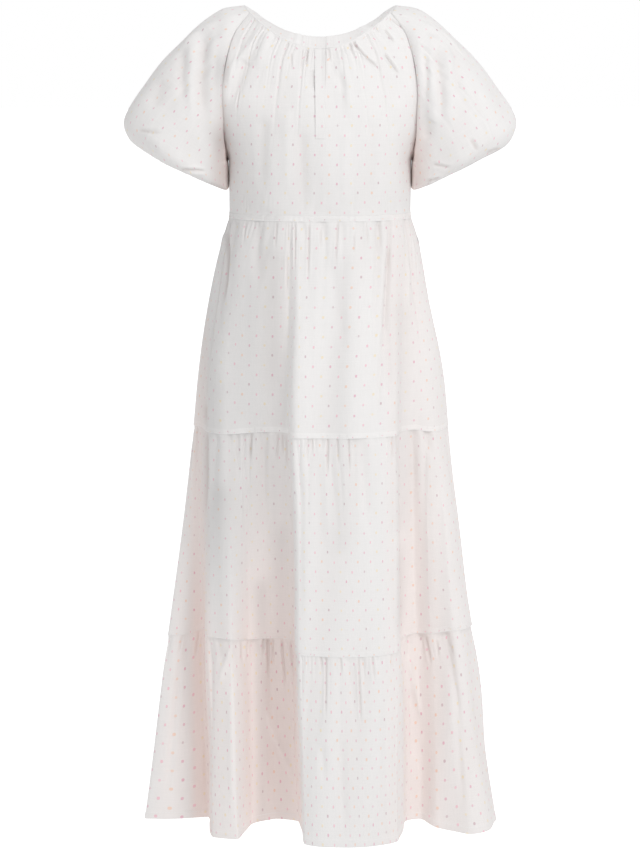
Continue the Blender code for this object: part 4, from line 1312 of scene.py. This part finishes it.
class DRESS_OT_seam_bands(bpy.types.Operator):
    """Makes the flat bands along the waist, hip and knee seams"""
    bl_idname = "dress.seam_bands"
    bl_label = "Seam Bands"

    def execute(self, context):
        trim = context.scene.dress_trim
        around = np.linspace(0, 1, BAND_COLUMNS)
        upper, profile = np.array(BAND_PROFILE).T[..., None]
        for name, level, seed in (("waist", WAIST, 1), ("hip", HIP_LINE, 2), ("knee", KNEE_LINE, 3)):
            swells = profile
            rings = np.array([skirt_ring(level + place * trim.band_height, around) for place in upper[:, 0]])
            points, fallen = rings[..., :3], rings[..., 3]
            outward = outward_of(points)
            outward[:, [0, -1]] = unit(outward[:, [0]] + outward[:, [-1]])
            if name == "waist":  # its upper half lies on the bodice's form
                half_width, front, back = read_table(SKIRT_FORM, WAIST)
                depth = np.where(points[..., 1] < 0, front, back)
                share = np.minimum(1, np.abs(points[..., 0]) / half_width) ** FORM_POWER
                bodice = depth * (1 - share) ** (1 / FORM_POWER) + SEAM_GAP
                more = np.maximum(0, bodice - np.abs(points[..., 1])) * ease((upper + 0.35) / 0.35)
                points[..., 1] += np.sign(points[..., 1]) * more
                swells = swells + 1.2 * ease((upper + 0.1) / 0.3)
            pucker = 0.0002 * uneven_wave(around, (60, 140), 500 + seed)
            lift = 0.00022 * swells + pucker * np.clip(swells, 0, 1) + skirt_swell(points)
            points = points + outward * lift[..., None]
            length = length_along(points[0]) + 0.004 * seed
            down = lengths_down(points)
            # the skirt's painted warmth and shade run on over the bands, and the waist and hip bands are a
            # little lighter
            shade = painted_fold_shade(points) - (0.0 if name == "knee" else 0.03)
            stitch = trim.band_height * 0.84 - down
            piece = make_piece(f"{name}_seam_band", points, on_flat(length, down + 0.009),
                               marks_for(points, painted_fold_glow(points, fallen), shade, stitch, length),
                               "seam voile", BAND_WALL, closed=True)
            ring_length(level)
        return {"FINISHED"}


# ---- the stage
SENSOR = 36.0  # millimetres along the picture's height
PICTURE_HEIGHT = 853  # pixels
CAMERA_ROW = 9  # the picture's row that is level with the camera, at the shoulders
SOFTBOX_SIZE = 2.0
LIT_PLACE = (0, 0, -0.6)  # which both softboxes face


class DRESS_OT_stage(bpy.types.Operator):
    """Makes the pale floor, the soft lights and the camera"""
    bl_idname = "dress.stage"
    bl_label = "Stage"

    def execute(self, context):
        stage = context.scene.dress_stage
        bm = bmesh.new()
        bmesh.ops.create_grid(bm, x_segments=4, y_segments=4, size=40)
        bmesh.ops.translate(bm, verts=bm.verts[:], vec=(0, 4, stage.floor))
        mesh = bpy.data.meshes.new("floor")
        bm.to_mesh(mesh)
        bm.free()
        floor = put_in_scene("floor", mesh)
        paper = bpy.data.materials.new("pale studio floor")
        paper.use_nodes = True
        feed_node(paper.node_tree.nodes["Principled BSDF"], {
            "Base Color": (0.96, 0.96, 0.96, 1.0), "Roughness": 0.9,
            "Emission Color": WHITE, "Emission Strength": 0.6})
        mesh.materials.append(paper)
        floor.visible_diffuse = False

        world = bpy.data.worlds.new("white studio")
        context.scene.world = world
        world.use_nodes = True
        tree = world.node_tree
        seen = tree.nodes["Background"]
        feed_node(seen, {"Color": WHITE, "Strength": 1.0})
        way = Wire(add_node(tree, "TexCoord").outputs["Generated"])
        height = Wire(add_node(tree, "SeparateXYZ", {0: way}).outputs[2])
        strength = height * (-stage.room * stage.bounce) + stage.room
        room = add_node(tree, "Background", {"Color": (0.985, 0.995, 1.0, 1.0), "Strength": strength})
        camera_ray = add_node(tree, "LightPath").outputs["Is Camera Ray"]
        sources = enumerate((Wire(camera_ray), Wire(room.outputs[0]), Wire(seen.outputs[0])))
        choose = add_node(tree, "MixShader", sources)
        feed(tree.nodes["World Output"].inputs["Surface"], Wire(choose.outputs[0]))

        self.softbox("key softbox", (2.85, -5.1, 3.3), stage.key)
        self.softbox("fill softbox", (-2.8, -2.4, 0.2), stage.fill)

        camera = bpy.data.cameras.new("camera")
        camera.lens = stage.lens
        camera.sensor_width = SENSOR
        holder = put_in_scene("camera", camera)
        holder.location = (0, -stage.distance, 0)
        tilt = atan((PICTURE_HEIGHT / 2 - CAMERA_ROW) / PICTURE_HEIGHT * SENSOR / stage.lens)
        holder.rotation_euler = (pi / 2 - tilt, 0, 0)
        context.scene.camera = holder
        context.scene.view_settings.view_transform = "Standard"
        return {"FINISHED"}

    def softbox(self, name, place, power):
        light = bpy.data.lights.new(name, "AREA")
        light.size = SOFTBOX_SIZE
        light.energy = power
        holder = put_in_scene(name, light)
        holder.location = place
        aim = Vector(LIT_PLACE) - Vector(place)
        holder.rotation_euler = aim.to_track_quat("-Z", "Y").to_euler()


class DRESS_PT_pieces(bpy.types.Panel):
    """Lists the pieces of the dress in the order they are made"""
    bl_idname = "DRESS_PT_pieces"
    bl_label = "Dress"
    bl_space_type = "VIEW_3D"
    bl_region_type = "UI"
    bl_category = "Dress"

    def draw(self, context):
        for step in STEPS:
            self.layout.operator(step.bl_idname)
        for group in GROUPS:
            settings = getattr(context.scene, group)
            box = self.layout.box()
            for label in type(settings).__annotations__:
                box.prop(settings, label)


STEPS = (DRESS_OT_bodice, DRESS_OT_placket, DRESS_OT_neck_casing, DRESS_OT_sleeves, DRESS_OT_skirt,
         DRESS_OT_seam_bands, DRESS_OT_stage)
GROUPS = {"dress_cloth": DressClothSettings, "dress_trim": DressTrimSettings,
          "dress_stage": DressStageSettings}


def register():
    for item in (*GROUPS.values(), *STEPS, DRESS_PT_pieces):
        bpy.utils.register_class(item)
    for name, group in GROUPS.items():
        setattr(bpy.types.Scene, name, bpy.props.PointerProperty(type=group))


def unregister():
    for name in GROUPS:
        delattr(bpy.types.Scene, name)
    for item in (DRESS_PT_pieces, *reversed(STEPS), *GROUPS.values()):
        bpy.utils.unregister_class(item)


def main():
    register()
    bpy.ops.dress.bodice()
    bpy.ops.dress.placket()
    bpy.ops.dress.neck_casing()
    bpy.ops.dress.sleeves()
    bpy.ops.dress.skirt()
    bpy.ops.dress.seam_bands()
    bpy.ops.dress.stage()


if __name__ == "__main__":
    main()
